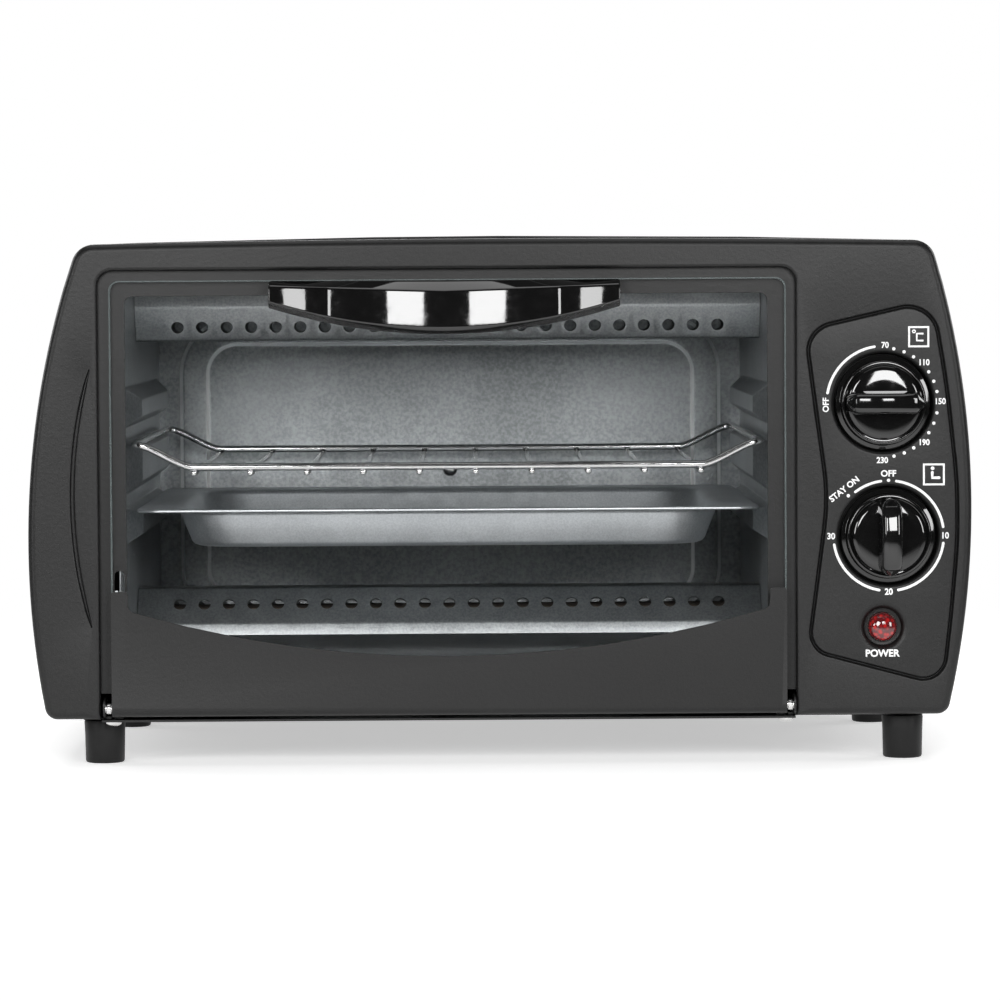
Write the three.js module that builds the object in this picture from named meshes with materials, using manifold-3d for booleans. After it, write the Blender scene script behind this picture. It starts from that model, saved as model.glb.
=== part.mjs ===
// A two-knob table-top toaster oven, built as the separate pieces it comes apart into.
// Millimetres. x runs to the right, y runs back from the face of the front panel, z up from a line just above
// the table. The whole group is then shifted, so that its origin is on the table under the middle of its box.

import * as THREE from 'three';
import { mergeVertices } from 'three/addons/utils/BufferGeometryUtils.js';
import Module from 'manifold-3d';

const wasm = await Module();
wasm.setup();

// ---------- Driving dimensions ----------

const gap = 0.3;                 // clearance left between touching pieces
const sheet = 1;                 // pressed steel, as modelled

const body = {
  halfWidth: 183.9,              // at the waists of the bowed sides
  sideRadius: 350,               // the sides are arcs
  leftWaistZ: 84,
  rightWaistZ: 97,
  bottomZ: 16.2,
  topZ: 201.1,
  cornerRadius: 9,               // upper corners
  lowerCornerRadius: 5,
  faceDepth: 14,                 // skirt of the front panel
  coverEndY: 243.7,
  panY: 248.7,                   // rear face of the back cover's raised pan
  rearY: 252,
};
const panelCrown = 1.6;          // rise of the front panel's top edge at its middle
const coverCrown = 2.7;
const basePlate = { bottomZ: 14.9, topZ: 15.8, halfWidth: 164, tongueY: 2.6 };

const doorway = { left: -156.2, right: 115.4, topZ: 191 };
const door = { left: -151.6, right: 111.5, topZ: 187, glassBottomZ: 24, faceY: -0.7, glass: 4 };
const doorX = (door.left + door.right) / 2;
const doorHalf = (door.right - door.left) / 2;
const rail = { faceY: -2.2, bottomZ: 17.2, tabTopZ: 66.2, tabWidth: 6.6, dipZ: 40.3, arcRadius: 434 };
const hinge = { y: 1, z: 20.4, pinRadius: 1.6 };

const cavity = { left: -147.9, right: 107.1, floorZ: 34, roofZ: 186, backY: 235 };
const cavityX = (cavity.left + cavity.right) / 2;
const flange = { y: 4.4, left: -145.7, right: 104.5, bottomZ: 34, topZ: 181 };

const handle = { left: -89.1, right: 46.9, topZ: 186.7, lowZ: 165.8, reach: 31, padWidth: 23.6 };
const knob = { radius: 16.5, wellRadius: 19.2, wellDepth: 1, reach: 19 };
const thermostat = { x: 149.3, z: 138 };
const timer = { x: 151.3, z: 86.1 };
const lamp = { x: 149, z: 50.5 };

const elementRadius = 3.25;
const upperElement = { y: 100, z: 174 };
const lowerElement = { y: 100, z: 51 };
const shieldX = 122.5;           // heat shield between the cavity and the controls

const tableZ = -2.1;
const foot = { radius: 8.1, footRadius: 7.7, frontY: 19, rearY: 168, left: -156, right: 158.2 };
const inlet = { x: 138, z: 46, bore: 3.6 };

// ---------- Materials ----------

const finish = (color, roughness, metalness) =>
  new THREE.MeshStandardMaterial({ color, roughness, metalness });

const blackPaint = finish(0x3a3a3b, 0.55, 0.2);
const galvanised = finish(0x8d9193, 0.4, 0.9);
const aluminised = finish(0x9aa0a4, 0.35, 0.9);
const chrome = finish(0xd5d8da, 0.12, 1);
const blackGloss = finish(0x141416, 0.12, 0);
const glass = new THREE.MeshStandardMaterial({
  color: 0xcfd6d6, roughness: 0.05, metalness: 0, transparent: true, opacity: 0.3,
});
const rubber = finish(0x26262a, 0.75, 0);
const redLens = finish(0x7a1d22, 0.15, 0);
const ceramic = finish(0xe6e1d6, 0.6, 0);
const heaterSteel = finish(0x5c5650, 0.5, 0.8);
const brass = finish(0xb59a5a, 0.35, 1);
const nylon = finish(0xd8d4c8, 0.5, 0);
const leadSleeve = finish(0xc9c4b4, 0.6, 0);

// ---------- Solids from three.js geometry ----------

function solid(geometry) {
  const bare = geometry.clone();
  bare.deleteAttribute('normal');
  bare.deleteAttribute('uv');
  const closed = mergeVertices(bare, 1e-4);
  return new wasm.Manifold(new wasm.Mesh({
    numProp: 3,
    vertProperties: Float32Array.from(closed.attributes.position.array),
    triVerts: Uint32Array.from(closed.index.array),
  }));
}

function toGeometry(manifold) {
  const mesh = manifold.getMesh();
  const geometry = new THREE.BufferGeometry();
  geometry.setAttribute('position', new THREE.BufferAttribute(mesh.vertProperties, 3));
  geometry.setIndex(new THREE.BufferAttribute(mesh.triVerts, 1));
  geometry.computeVertexNormals();
  return geometry;
}

const join = (first, ...others) => others.reduce((sum, other) => sum.add(other), first);
const cut = (first, ...others) => others.reduce((rest, other) => rest.subtract(other), first);

const X = new THREE.Vector3(1, 0, 0);
const Y = new THREE.Vector3(0, 1, 0);
const Z = new THREE.Vector3(0, 0, 1);
// Each plane names the directions of a flat outline; it is then thickened along the third.
const planes = {
  xy: new THREE.Matrix4().makeBasis(X, Y, Z),
  yz: new THREE.Matrix4().makeBasis(Y, Z, X),
  xz: new THREE.Matrix4().makeBasis(X, Z, Y.clone().negate()),
};

// A plate with the given outline, from one depth to the other.
function plate(points, plane, from, to) {
  const shape = new THREE.Shape(points);
  const geometry = new THREE.ExtrudeGeometry(shape, { depth: to - from, bevelEnabled: false });
  geometry.translate(0, 0, plane === 'xz' ? -to : from);
  return solid(geometry.applyMatrix4(planes[plane]));
}

function block(x0, x1, y0, y1, z0, z1) {
  const geometry = new THREE.BoxGeometry(x1 - x0, y1 - y0, z1 - z0);
  return solid(geometry.translate((x0 + x1) / 2, (y0 + y1) / 2, (z0 + z1) / 2));
}

// Corners are [a, b, radius]; no radius leaves the corner sharp.
function outline(corners, steps = 5) {
  const points = [];
  corners.forEach(([a, b, radius = 0], i) => {
    const corner = new THREE.Vector2(a, b);
    if (radius === 0) {
      points.push(corner);
      return;
    }
    const towards = (other) => new THREE.Vector2(other[0], other[1]).sub(corner).normalize();
    const back = towards(corners.at(i - 1));
    const ahead = towards(corners[(i + 1) % corners.length]);
    const half = Math.acos(back.dot(ahead)) / 2;
    const centre = back.clone().add(ahead).setLength(radius / Math.sin(half)).add(corner);
    const start = back.setLength(radius / Math.tan(half)).add(corner).sub(centre);
    const end = ahead.setLength(radius / Math.tan(half)).add(corner).sub(centre);
    const turn = Math.atan2(start.cross(end), start.dot(end));
    for (let k = 0; k <= steps; k += 1) {
      points.push(start.clone().rotateAround(new THREE.Vector2(), (turn * k) / steps).add(centre));
    }
  });
  return points;
}

function rectangle(a0, a1, b0, b1, radius = 0, steps = 4) {
  return outline([[a0, b0, radius], [a1, b0, radius], [a1, b1, radius], [a0, b1, radius]], steps);
}

function arc(a, b, radius, from, to, steps) {
  return new THREE.ArcCurve(a, b, radius, from, to, to < from).getPoints(steps);
}

function circle(a, b, radius, sides = 16) {
  return arc(a, b, radius, 0, 2 * Math.PI, sides).slice(0, sides);
}

// A turned piece. The profile is [radius, height] from one end of the axis to the other.
function turned(profile, axis, at, sides = 20) {
  const points = profile.map(([radius, height]) => new THREE.Vector2(radius, height));
  const geometry = new THREE.LatheGeometry(points, sides);
  geometry.applyQuaternion(new THREE.Quaternion().setFromUnitVectors(Y, axis));
  return solid(geometry.translate(...at));
}

function rod(from, to, radius, sides = 8) {
  const a = new THREE.Vector3(...from);
  const along = new THREE.Vector3(...to).sub(a);
  const geometry = new THREE.CylinderGeometry(radius, radius, along.length(), sides);
  geometry.translate(0, along.length() / 2, 0);
  geometry.applyQuaternion(new THREE.Quaternion().setFromUnitVectors(Y, along.normalize()));
  return solid(geometry.translate(...from));
}

// Turns an outline anticlockwise, in place.
function anticlockwise(points) {
  return THREE.ShapeUtils.isClockWise(points) ? points.reverse() : points;
}

// A closed loop of wire with mitred bends: each leg's section is carried on to the plane
// that halves the bend.
function wireLoop(points, radius, sides = 8) {
  const count = points.length;
  const leg = (i) => points[(i + 1) % count].clone().sub(points[i % count]).normalize();
  const across = new THREE.Vector3().crossVectors(leg(0), Z).normalize();
  const up = new THREE.Vector3().crossVectors(across, leg(0));
  let section = circle(0, 0, radius, sides).map((point) => (
    across.clone().multiplyScalar(point.x).addScaledVector(up, point.y)));
  const position = [];
  const index = [];
  for (let i = 1; i <= count; i += 1) {
    const normal = leg(i - 1).add(leg(i));
    section = section.map((rim) => {
      const mitred = rim.clone().addScaledVector(leg(i - 1), -rim.dot(normal) / leg(i - 1).dot(normal));
      position.push(...mitred.clone().add(points[i % count]).toArray());
      return mitred.addScaledVector(leg(i), -mitred.dot(leg(i)));
    });
    for (let k = 0; k < sides; k += 1) {
      const [a, b] = [k, (k + 1) % sides].map((side) => (i - 1) * sides + side);
      const [c, d] = [k, (k + 1) % sides].map((side) => (i % count) * sides + side);
      index.push(a, c, b, b, c, d);
    }
  }
  const geometry = new THREE.BufferGeometry();
  geometry.setAttribute('position', new THREE.Float32BufferAttribute(position, 3));
  geometry.setIndex(index);
  return solid(geometry);
}

const oven = new THREE.Group();
oven.position.set(0, -(body.rearY - handle.reach) / 2, -tableZ);

function add(name, manifold, material, parent = oven) {
  const mesh = new THREE.Mesh(toGeometry(manifold), material);
  mesh.name = name;
  parent.add(mesh);
  return mesh;
}

// ---------- Outer shell ----------

// Front view of the body: bowed sides, a slightly crowned top and round corners.
function bodyOutline(inset, crown) {
  const radius = body.sideRadius;
  const halfAt = (z, waistZ) => (
    body.halfWidth - inset - radius + Math.sqrt(radius ** 2 - (z - waistZ) ** 2));
  const rightAt = (z) => halfAt(z, body.rightWaistZ);
  const leftAt = (z) => -halfAt(z, body.leftWaistZ);
  const low = body.bottomZ + inset;
  const high = body.topZ - inset;
  const corner = body.cornerRadius - inset;
  const lowCorner = body.lowerCornerRadius - inset;
  const sideZ = [40, 65, body.leftWaistZ, body.rightWaistZ, 115, 140, 165, 184];
  const right = sideZ.map((z) => [rightAt(z), z]);
  const left = sideZ.map((z) => [leftAt(z), z]).reverse();
  const topX = [140, 95, 50, 0, -50, -95, -140];
  const top = topX.map((x) => [x, high + crown * (1 - (x / rightAt(high)) ** 2)]);
  return outline([
    [leftAt(low), low, lowCorner], [rightAt(low), low, lowCorner], ...right,
    [rightAt(high), high, corner], ...top, [leftAt(high), high, corner], ...left,
  ]);
}

// Raised island round the controls, with a waist between the two dials.
const controlIsland = [
  [118.4, 41.8, 9], [171.6, 27.6, 9], [174.7, 55, 300], [176.9, 84, 200], [176.9, 107, 200],
  [173.4, 144.7, 300], [169, 176.6, 12], [118.2, 165.5, 11], [127.2, 101, 90],
];

// The same outline grown or shrunk about its own edges.
function offset(points, distance) {
  return points.map((point, i) => {
    const along = points[(i + 1) % points.length].clone().sub(points.at(i - 1)).normalize();
    return point.clone().add(new THREE.Vector2(along.y, -along.x).multiplyScalar(distance));
  });
}

function frontPanel() {
  const groove = { width: 2, depth: 0.8 };
  const lip = 1.2;
  const { left, right, topZ } = doorway;
  const doorwayCut = outline([[left, 0], [right, 0], [right, topZ, 6], [left, topZ, 6]]);
  const lipOuter = outline([
    [left - lip, body.bottomZ], [right + lip, body.bottomZ],
    [right + lip, topZ + lip, 6 + lip], [left - lip, topZ + lip, 6 + lip],
  ]);
  const island = outline(controlIsland, 4);
  const cheekArc = (radius) => {
    const centreX = 14.8;
    const reach = Math.asin(57.5 / radius);
    return arc(centreX, 102.5, radius, Math.PI - reach, Math.PI + reach, 12);
  };
  const cheekGroove = [...cheekArc(182), ...cheekArc(180.4).reverse()];
  return cut(
    join(
      cut(
        plate(bodyOutline(0, panelCrown), 'xz', 0, body.faceDepth),
        plate(bodyOutline(1.6, panelCrown), 'xz', 2, body.faceDepth + 1),
      ),
      plate(lipOuter, 'xz', 1, 4),
    ),
    plate(doorwayCut, 'xz', -1, body.faceDepth + 1),
    cut(
      plate(offset(island, groove.width / 2), 'xz', -1, groove.depth),
      plate(offset(island, -groove.width / 2), 'xz', -2, groove.depth + 1),
    ),
    plate(cheekGroove, 'xz', -1, groove.depth),
    plate(circle(thermostat.x, thermostat.z, knob.wellRadius, 28), 'xz', -1, knob.wellDepth),
    plate(circle(timer.x, timer.z, knob.wellRadius, 28), 'xz', -1, knob.wellDepth),
    plate(circle(thermostat.x, thermostat.z, 4.5), 'xz', -1, 3),
    plate(circle(timer.x, timer.z, 4.5), 'xz', -1, 3),
    plate(circle(lamp.x, lamp.z, 7.2, 20), 'xz', -1, 3),
  );
}

function outerCover() {
  const start = body.faceDepth + gap;
  const curl = 160;                                   // the lower edges turn in this far from the middle
  const vents = [];
  for (const side of [-1, 1]) {
    for (let i = 0; i < 9; i += 1) {
      const y = 150 + i * 9;
      const x = side * 178;
      vents.push(block(Math.min(x, x - side * 12), Math.max(x, x + side * 12), y, y + 3, 118, 156));
    }
  }
  return cut(
    plate(bodyOutline(0, coverCrown), 'xz', start, body.coverEndY),
    plate(bodyOutline(sheet, coverCrown), 'xz', start - 1, body.coverEndY + 1),
    block(-curl, curl, start - 1, body.coverEndY + 1, 10, 22),
    ...vents,
  );
}

function backCover() {
  const wall = body.coverEndY + gap;
  const pan = { left: -150, right: 150, low: 32, high: 186 };
  const slots = [];
  for (let row = 0; row < 5; row += 1) {
    for (let i = 0; i < 3; i += 1) {
      const x = -104 + i * 86;
      const z = 92 + row * 14;
      slots.push(plate(rectangle(x - 30, x + 30, z, z + 4), 'xz', wall - 1, body.panY + 1));
    }
  }
  return cut(
    join(
      plate(bodyOutline(0, coverCrown), 'xz', wall, wall + sheet),
      plate(rectangle(pan.left, pan.right, pan.low, pan.high, 12), 'xz', wall, body.panY),
    ),
    plate(rectangle(pan.left + sheet, pan.right - sheet, pan.low + sheet, pan.high - sheet, 11),
      'xz', wall - 1, body.panY - sheet),
    plate(circle(inlet.x, inlet.z, 7), 'xz', wall - 1, body.panY + 1),
    ...slots,
  );
}

const bracketScrew = { offset: 131.5, y: 6.4 };

function basePlateSolid() {
  const { halfWidth, tongueY, bottomZ, topZ } = basePlate;
  const left = doorway.left + gap;
  const right = doorway.right - gap;
  const skirt = body.faceDepth + gap;
  const edge = outline([
    [-halfWidth, skirt], [left, skirt], [left, tongueY], [right, tongueY], [right, skirt],
    [halfWidth, skirt], [halfWidth, body.coverEndY], [-halfWidth, body.coverEndY],
  ]);
  const vents = [];
  for (let i = 0; i < 8; i += 1) {
    const y = 60 + i * 12;
    vents.push(plate(rectangle(cavityX - 70, cavityX - 10, y, y + 4), 'xy', bottomZ - 1, topZ + 1));
    vents.push(plate(rectangle(cavityX + 10, cavityX + 70, y, y + 4), 'xy', bottomZ - 1, topZ + 1));
  }
  const screwHoles = [-1, 1].map((side) => plate(
    circle(doorX + side * bracketScrew.offset, bracketScrew.y, 1.9, 12), 'xy', bottomZ - 1, topZ + 1));
  return cut(plate(edge, 'xy', bottomZ, topZ), ...vents, ...screwHoles);
}

add('front_panel', frontPanel(), blackPaint);
add('outer_cover', outerCover(), blackPaint);
add('back_cover', backCover(), blackPaint);
add('base_plate', basePlateSolid(), blackPaint);

const footTopZ = basePlate.bottomZ - gap;
for (const [side, x] of [['left', foot.left], ['right', foot.right]]) {
  for (const [end, y] of [['front', foot.frontY], ['rear', foot.rearY]]) {
    const profile = [[0, tableZ], [foot.footRadius, tableZ], [foot.radius, footTopZ], [0, footTopZ]];
    add(`foot_${end}_${side}`, turned(profile, Y, [0, 0, 0]).rotate([90, 0, 0]).translate([x, y, 0]), rubber);
  }
}

// ---------- Oven cavity ----------

// One rail pressed inwards from a side wall: a frustum between two depths measured in from the wall's face.
function frustum(side, from, to, shelf, shrink) {
  const wallX = side < 0 ? cavity.left : cavity.right;
  const footX = wallX - side * from;
  const crestX = wallX - side * to;
  const across = (base, crest) => {
    const points = outline([
      [footX, base[0] + shrink], [footX, base[1] - shrink],
      [crestX, crest[1] - shrink], [crestX, crest[0] + shrink],
    ]);
    return anticlockwise(points);
  };
  return plate(across(shelf.base, shelf.crest), 'xz', 20, 230)
    .intersect(plate(across([30, 218], [44, 204]), 'xy', 60, 160));
}

const shelves = [
  { base: [128.7, 145.2], crest: [133.3, 139.9] },
  { base: [102.3, 123.4], crest: [107.5, 120.2] },
  { base: [82.5, 97.6], crest: [86.5, 94.6] },
];

function cavityWall(side) {
  const inner = side < 0 ? cavity.left : cavity.right;
  const outer = inner + side * sheet;
  const [x0, x1] = [Math.min(inner, outer), Math.max(inner, outer)];
  const frontY = flange.y + sheet + gap;
  const wall = block(x0, x1, frontY, cavity.backY - gap, cavity.floorZ - sheet, cavity.roofZ + sheet);
  const rails = shelves.map((shelf) => frustum(side, -sheet / 2, 6, shelf, 0));
  const hollows = shelves.map((shelf) => frustum(side, -2 * sheet, 5, shelf, sheet));
  const elementHoles = [upperElement, lowerElement].map(({ y, z }) => plate(
    circle(y, z, elementRadius + 0.4, 12), 'yz', x0 - 1, x1 + 1));
  return cut(join(wall, ...rails), ...hollows, ...elementHoles);
}

function cavityBack() {
  const ring = { left: -139.1, right: 98.8, low: 34.4, high: 171.8, band: 13.6, rise: 2 };
  const { backY } = cavity;
  return cut(
    join(
      block(
        cavity.left - sheet, cavity.right + sheet, backY, backY + sheet,
        cavity.floorZ - sheet, cavity.roofZ + sheet),
      cut(
        plate(rectangle(ring.left, ring.right, ring.low, ring.high, 25.6, 6), 'xz', backY - ring.rise, backY + 0.1),
        plate(rectangle(
          ring.left + ring.band, ring.right - ring.band, ring.low + ring.band, ring.high - ring.band, 12, 5),
        'xz', backY - ring.rise - 1, backY + 0.1),
      ),
    ),
    plate(circle(cavityX, 104, 1.9, 12), 'xz', backY - 1, backY + sheet + 1),
  );
}

function frontFlange() {
  const { left, right, bottomZ, topZ, y } = flange;
  const slot = { left: -150.6, right: -146.6, low: 36, high: 74 };
  return cut(
    plate(rectangle(-160, 119, 26, 196), 'xz', y, y + sheet),
    plate(rectangle(left, right, bottomZ, topZ, 3), 'xz', y - 1, y + sheet + 1),
    plate(outline([[slot.left, slot.low], [slot.right, slot.low], [slot.right, slot.high, 1.9],
      [slot.left, slot.high, 1.9]]), 'xz', y - 1, y + sheet + 1),
  );
}

const cavityFrontY = flange.y + sheet + gap;
add('cavity_front_flange', frontFlange(), blackPaint);
add('cavity_left_wall', cavityWall(-1), galvanised);
add('cavity_right_wall', cavityWall(1), galvanised);
add('cavity_back_wall', cavityBack(), galvanised);
add('cavity_roof', block(
  cavity.left + gap, cavity.right - gap, cavityFrontY, cavity.backY - gap,
  cavity.roofZ, cavity.roofZ + sheet), galvanised);
add('cavity_floor', block(
  cavity.left + gap, cavity.right - gap, cavityFrontY, cavity.backY - gap,
  cavity.floorZ - sheet, cavity.floorZ), galvanised);
add('cavity_back_screw', turned(
  [[0, -1.9], [2.2, -1.5], [3.2, -0.3], [1.5, -0.3], [1.5, 6], [0, 6]],
  Y, [cavityX, cavity.backY, 104], 14), chrome);

// ---------- Heating elements and the guards over them ----------

// A bent strip is drawn as the line of its outer face, then given the sheet's thickness inwards.
function bentGuard(profile, holes) {
  const line = profile.map(([y, z]) => new THREE.Vector2(y, z));
  const inner = line.map((point, i) => {
    const ahead = line[Math.min(i + 1, line.length - 1)].clone().sub(line[Math.max(i - 1, 0)]).normalize();
    return point.clone().add(new THREE.Vector2(ahead.y, -ahead.x).multiplyScalar(sheet));
  });
  const strip = [...line, ...inner.reverse()];
  anticlockwise(strip);
  const drills = [];
  for (let i = 0; i < holes.count; i += 1) {
    const x = cavityX + (i - (holes.count - 1) / 2) * holes.pitch;
    drills.push(plate(circle(x, holes.z, holes.radius, 8), 'xz', holes.fromY, holes.toY));
  }
  return cut(plate(strip, 'yz', cavity.left + gap, cavity.right - gap), ...drills);
}

add('upper_element_guard', bentGuard(
  [
    [85, cavity.roofZ - gap], [85, 175.6], [90.7, 162.3],
    [109.3, 162.3], [115, 175.6], [115, cavity.roofZ - gap],
  ],
  { count: 23, pitch: 10, radius: 2.5, z: 168, fromY: 80, toY: 95 },
), aluminised);
add('lower_element_guard', bentGuard(
  [[80.6, 43], [81.7, 47.5], [92.8, 61.5], [107.2, 61.5], [118.3, 47.5], [119.4, 43]],
  { count: 23, pitch: 10, radius: 2.5, z: 55, fromY: 80, toY: 95 },
), aluminised);

for (const [place, { y, z }] of [['upper', upperElement], ['lower', lowerElement]]) {
  add(`${place}_heating_element`, rod([-166, y, z], [118, y, z], elementRadius, 12), heaterSteel);
  for (const [side, x0, x1] of [
    ['left', -160, cavity.left - sheet - gap], ['right', cavity.right + sheet + gap, 116],
  ]) {
    add(`${place}_element_insulator_${side}`, cut(
      plate(circle(y, z, 7, 14), 'yz', x0, x1),
      plate(circle(y, z, elementRadius + 0.4, 14), 'yz', x0 - 1, x1 + 1),
    ), ceramic);
  }
}

// ---------- Controls compartment ----------

add('heat_shield', cut(
  block(shieldX, shieldX + sheet, body.faceDepth + gap + 1, cavity.backY, basePlate.topZ + gap, 198),
  plate(circle(lowerElement.y, 70, 7, 12), 'yz', shieldX - 1, shieldX + 2),
  plate(circle(upperElement.y, 150, 7, 12), 'yz', shieldX - 1, shieldX + 2),
), galvanised);

const controlY = 8;                // front face of both control bodies
add('thermostat_body', join(
  block(
    thermostat.x - 15, thermostat.x + 15, controlY + 2, controlY + 24, thermostat.z - 12, thermostat.z + 12),
  plate(
    rectangle(thermostat.x - 21, thermostat.x + 21, thermostat.z - 6, thermostat.z + 6, 3),
    'xz', controlY, controlY + 2),
), ceramic);
add('timer_body', join(
  block(timer.x - 22, timer.x + 22, controlY + 2, controlY + 28, timer.z - 20, timer.z + 20),
  plate(rectangle(timer.x - 26, timer.x + 26, timer.z - 7, timer.z + 7, 3), 'xz', controlY, controlY + 2),
), galvanised);
add('timer_bell', turned(
  [[0, 0.3], [17, 0.3], [19, 3], [17.5, 7], [12, 9.6], [0, 10.6]],
  Y, [timer.x, controlY + 28, timer.z], 20), brass);

add('pilot_lamp_lens', turned(
  [[0, -2.4], [3.2, -2], [5, -0.7], [5.5, 0.8], [5.5, 7], [0, 7]], Y, [lamp.x, 0, lamp.z]), redLens);
add('pilot_lamp_holder', cut(
  plate(circle(lamp.x, lamp.z, 9, 18), 'xz', 2 + gap, 17),
  plate(circle(lamp.x, lamp.z, 5.8, 18), 'xz', 1, 7 + gap),
), nylon);

add('terminal_block', block(133, 157, 196, 210, basePlate.topZ + gap, 31), nylon);
add('cord_inlet', cut(
  join(
    turned([[0, gap], [9.5, gap], [9, 3.3], [0, 3.3]], Y, [inlet.x, body.panY, inlet.z], 18),
    plate(circle(inlet.x, inlet.z, 6.6, 16), 'xz', body.coverEndY - 2, body.panY + 1),
  ),
  plate(circle(inlet.x, inlet.z, inlet.bore, 14), 'xz', body.coverEndY - 4, body.rearY + 2),
), rubber);

// Sleeved leads, each clipped along its own route inside the controls compartment.
function lead(name, points) {
  const route = new THREE.CatmullRomCurve3(points.map((point) => new THREE.Vector3(...point)));
  const section = new THREE.Shape(circle(0, 0, 1.3, 6));
  const geometry = new THREE.ExtrudeGeometry(section, { steps: 16, extrudePath: route, bevelEnabled: false });
  add(name, solid(geometry), leadSleeve);
}

lead('lead_terminal_to_thermostat', [
  [138, 196, 40], [136, 180, 52], [134, 120, 90], [140, 60, 128], [142, 33.5, 138]]);
lead('lead_thermostat_to_timer', [
  [155, 33, 130], [158, 52, 124], [168, 60, 112], [172, 52, 100], [170, 37, 96]]);
lead('lead_timer_to_lower_element', [
  [131, 37, 76], [130, 60, 72], [128, 88, 70], [123, 100, 70], [119.5, 101, 60]]);
lead('lead_thermostat_to_upper_element', [
  [136, 33.5, 146], [131, 52, 149], [128, 88, 150], [123, 100, 150], [119.5, 101, 164]]);
lead('lead_timer_to_lamp', [
  [145, 28, 64.5], [145, 30, 58], [148, 34, 52], [149, 26, 50.6], [149, 18.5, 50.5]]);

// ---------- Door ----------

const doorGroup = new THREE.Group();
oven.add(doorGroup);

const glassRearY = door.faceY + door.glass;
const handleScrews = [handle.left + handle.padWidth / 2, handle.right - handle.padWidth / 2];
const handleScrewZ = 178;

function doorGlass() {
  const holes = handleScrews.map((x) => plate(circle(x, handleScrewZ, 2.4, 12), 'xz', -3, 5));
  return cut(plate(outline([
    [door.left, door.glassBottomZ], [door.right, door.glassBottomZ],
    [door.right, door.topZ, 4], [door.left, door.topZ, 4],
  ]), 'xz', door.faceY, glassRearY), ...holes);
}

// Pressed rail under the glass: a dipped top edge, a rolled lower edge and closed ends round the pins.
function lowerRail() {
  const { faceY, bottomZ, tabTopZ, tabWidth, dipZ, arcRadius } = rail;
  const thickness = 1.2;
  const roll = 2.6;
  const backY = 2.4;
  const shoulder = 122;
  const dip = (x) => dipZ + arcRadius - Math.sqrt(arcRadius ** 2 - (x - doorX) ** 2);
  const edge = [];
  for (let i = 0; i <= 12; i += 1) {
    const x = doorX + shoulder * (1 - i / 6);
    edge.push([x, dip(x)]);
  }
  const front = outline([
    [door.left, 10], [door.right, 10], [door.right, tabTopZ, 1.2], [door.right - tabWidth, tabTopZ, 1.2],
    [door.right - tabWidth, dip(doorX + shoulder + 2), 3.2], ...edge,
    [door.left + tabWidth, dip(doorX + shoulder + 2), 3.2], [door.left + tabWidth, tabTopZ, 1.2],
    [door.left, tabTopZ, 1.2],
  ], 4);
  const bent = outline([
    [faceY, 80], [faceY, bottomZ, roll], [backY, bottomZ], [backY, bottomZ + thickness],
    [faceY + thickness, bottomZ + thickness, roll - thickness], [faceY + thickness, 80],
  ]);
  const filled = outline([[faceY, 23.4], [faceY, bottomZ, roll], [backY, bottomZ], [backY, 23.4]]);
  const ends = [[door.left, door.left + 2], [door.right - 2, door.right]].map(([x0, x1]) => cut(
    join(plate(filled, 'yz', x0, x1), plate(circle(hinge.y, hinge.z, 3.3, 18), 'yz', x0, x1)),
    plate(circle(hinge.y, hinge.z, hinge.pinRadius + gap, 14), 'yz', x0 - 1, x1 + 1),
  ));
  const skin = plate(bent, 'yz', door.left, door.right).intersect(plate(front, 'xz', -5, 5));
  return join(skin, ...ends);
}

// Bow handle: two end pads on the glass and a grip that stands clear of it.
function doorHandle() {
  const { left, right, topZ, lowZ, reach, padWidth } = handle;
  const middle = (left + right) / 2;
  const half = (right - left) / 2;
  const padY = door.faceY - gap;
  const bow = (t, y0, y1) => y0 + (y1 - y0) * (1 - Math.abs(t) ** 2.4);
  const outer = [];
  const inner = [];
  for (let i = 0; i <= 12; i += 1) {
    const t = 1 - i / 6;
    outer.push([middle - half * t, bow(t, -9, -reach)]);
    inner.push([middle + (half - padWidth) * t, bow(t, -7, -20)]);
  }
  const plan = outline([
    [left, padY], ...outer, [right, padY], [right - padWidth, padY], ...inner, [left + padWidth, padY],
  ]);
  anticlockwise(plan);
  const lower = [];
  for (let i = 0; i <= 12; i += 1) {
    const t = i / 6 - 1;
    lower.push([middle + half * t, lowZ + 10.4 * t ** 2]);
  }
  const front = outline([...lower, [right, topZ, 2], [left, topZ, 2]]);
  const bores = handleScrews.map((x) => plate(circle(x, handleScrewZ, 2.2, 12), 'xz', -7, 0));
  return cut(plate(plan, 'xy', 160, 190).intersect(plate(front, 'xz', -reach - 1, 0)), ...bores);
}

// Sector plate on the door's left edge: it runs through the slot in the flange about the hinge line.
function doorArm() {
  const band = { inner: 40, outer: 46 };
  const start = Math.PI / 2 - 0.06;
  const end = -0.03;
  const edge = (radius) => arc(hinge.y, hinge.z, radius, start, end, 14);
  const sector = [...edge(band.outer), ...edge(band.inner).reverse()];
  anticlockwise(sector);
  const stem = rectangle(glassRearY + gap, 4.1, 24, 64);
  return join(plate(sector, 'yz', -150.4, -149.2), plate(stem, 'yz', -150.4, -149.2));
}

add('door_glass', doorGlass(), glass, doorGroup);
add('door_lower_rail', lowerRail(), blackPaint, doorGroup);
add('door_handle', doorHandle(), blackGloss, doorGroup);
add('door_arm', doorArm(), galvanised, doorGroup);
handleScrews.forEach((x, i) => {
  const profile = [[0, -6], [1.9, -6], [1.9, 3.6], [2.9, 3.6], [2.6, 4.6], [1.6, 5.1], [0, 5.1]];
  add(
    `handle_screw_${i === 0 ? 'left' : 'right'}`,
    turned(profile, Y, [x, 0, handleScrewZ], 12), chrome, doorGroup);
});

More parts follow.
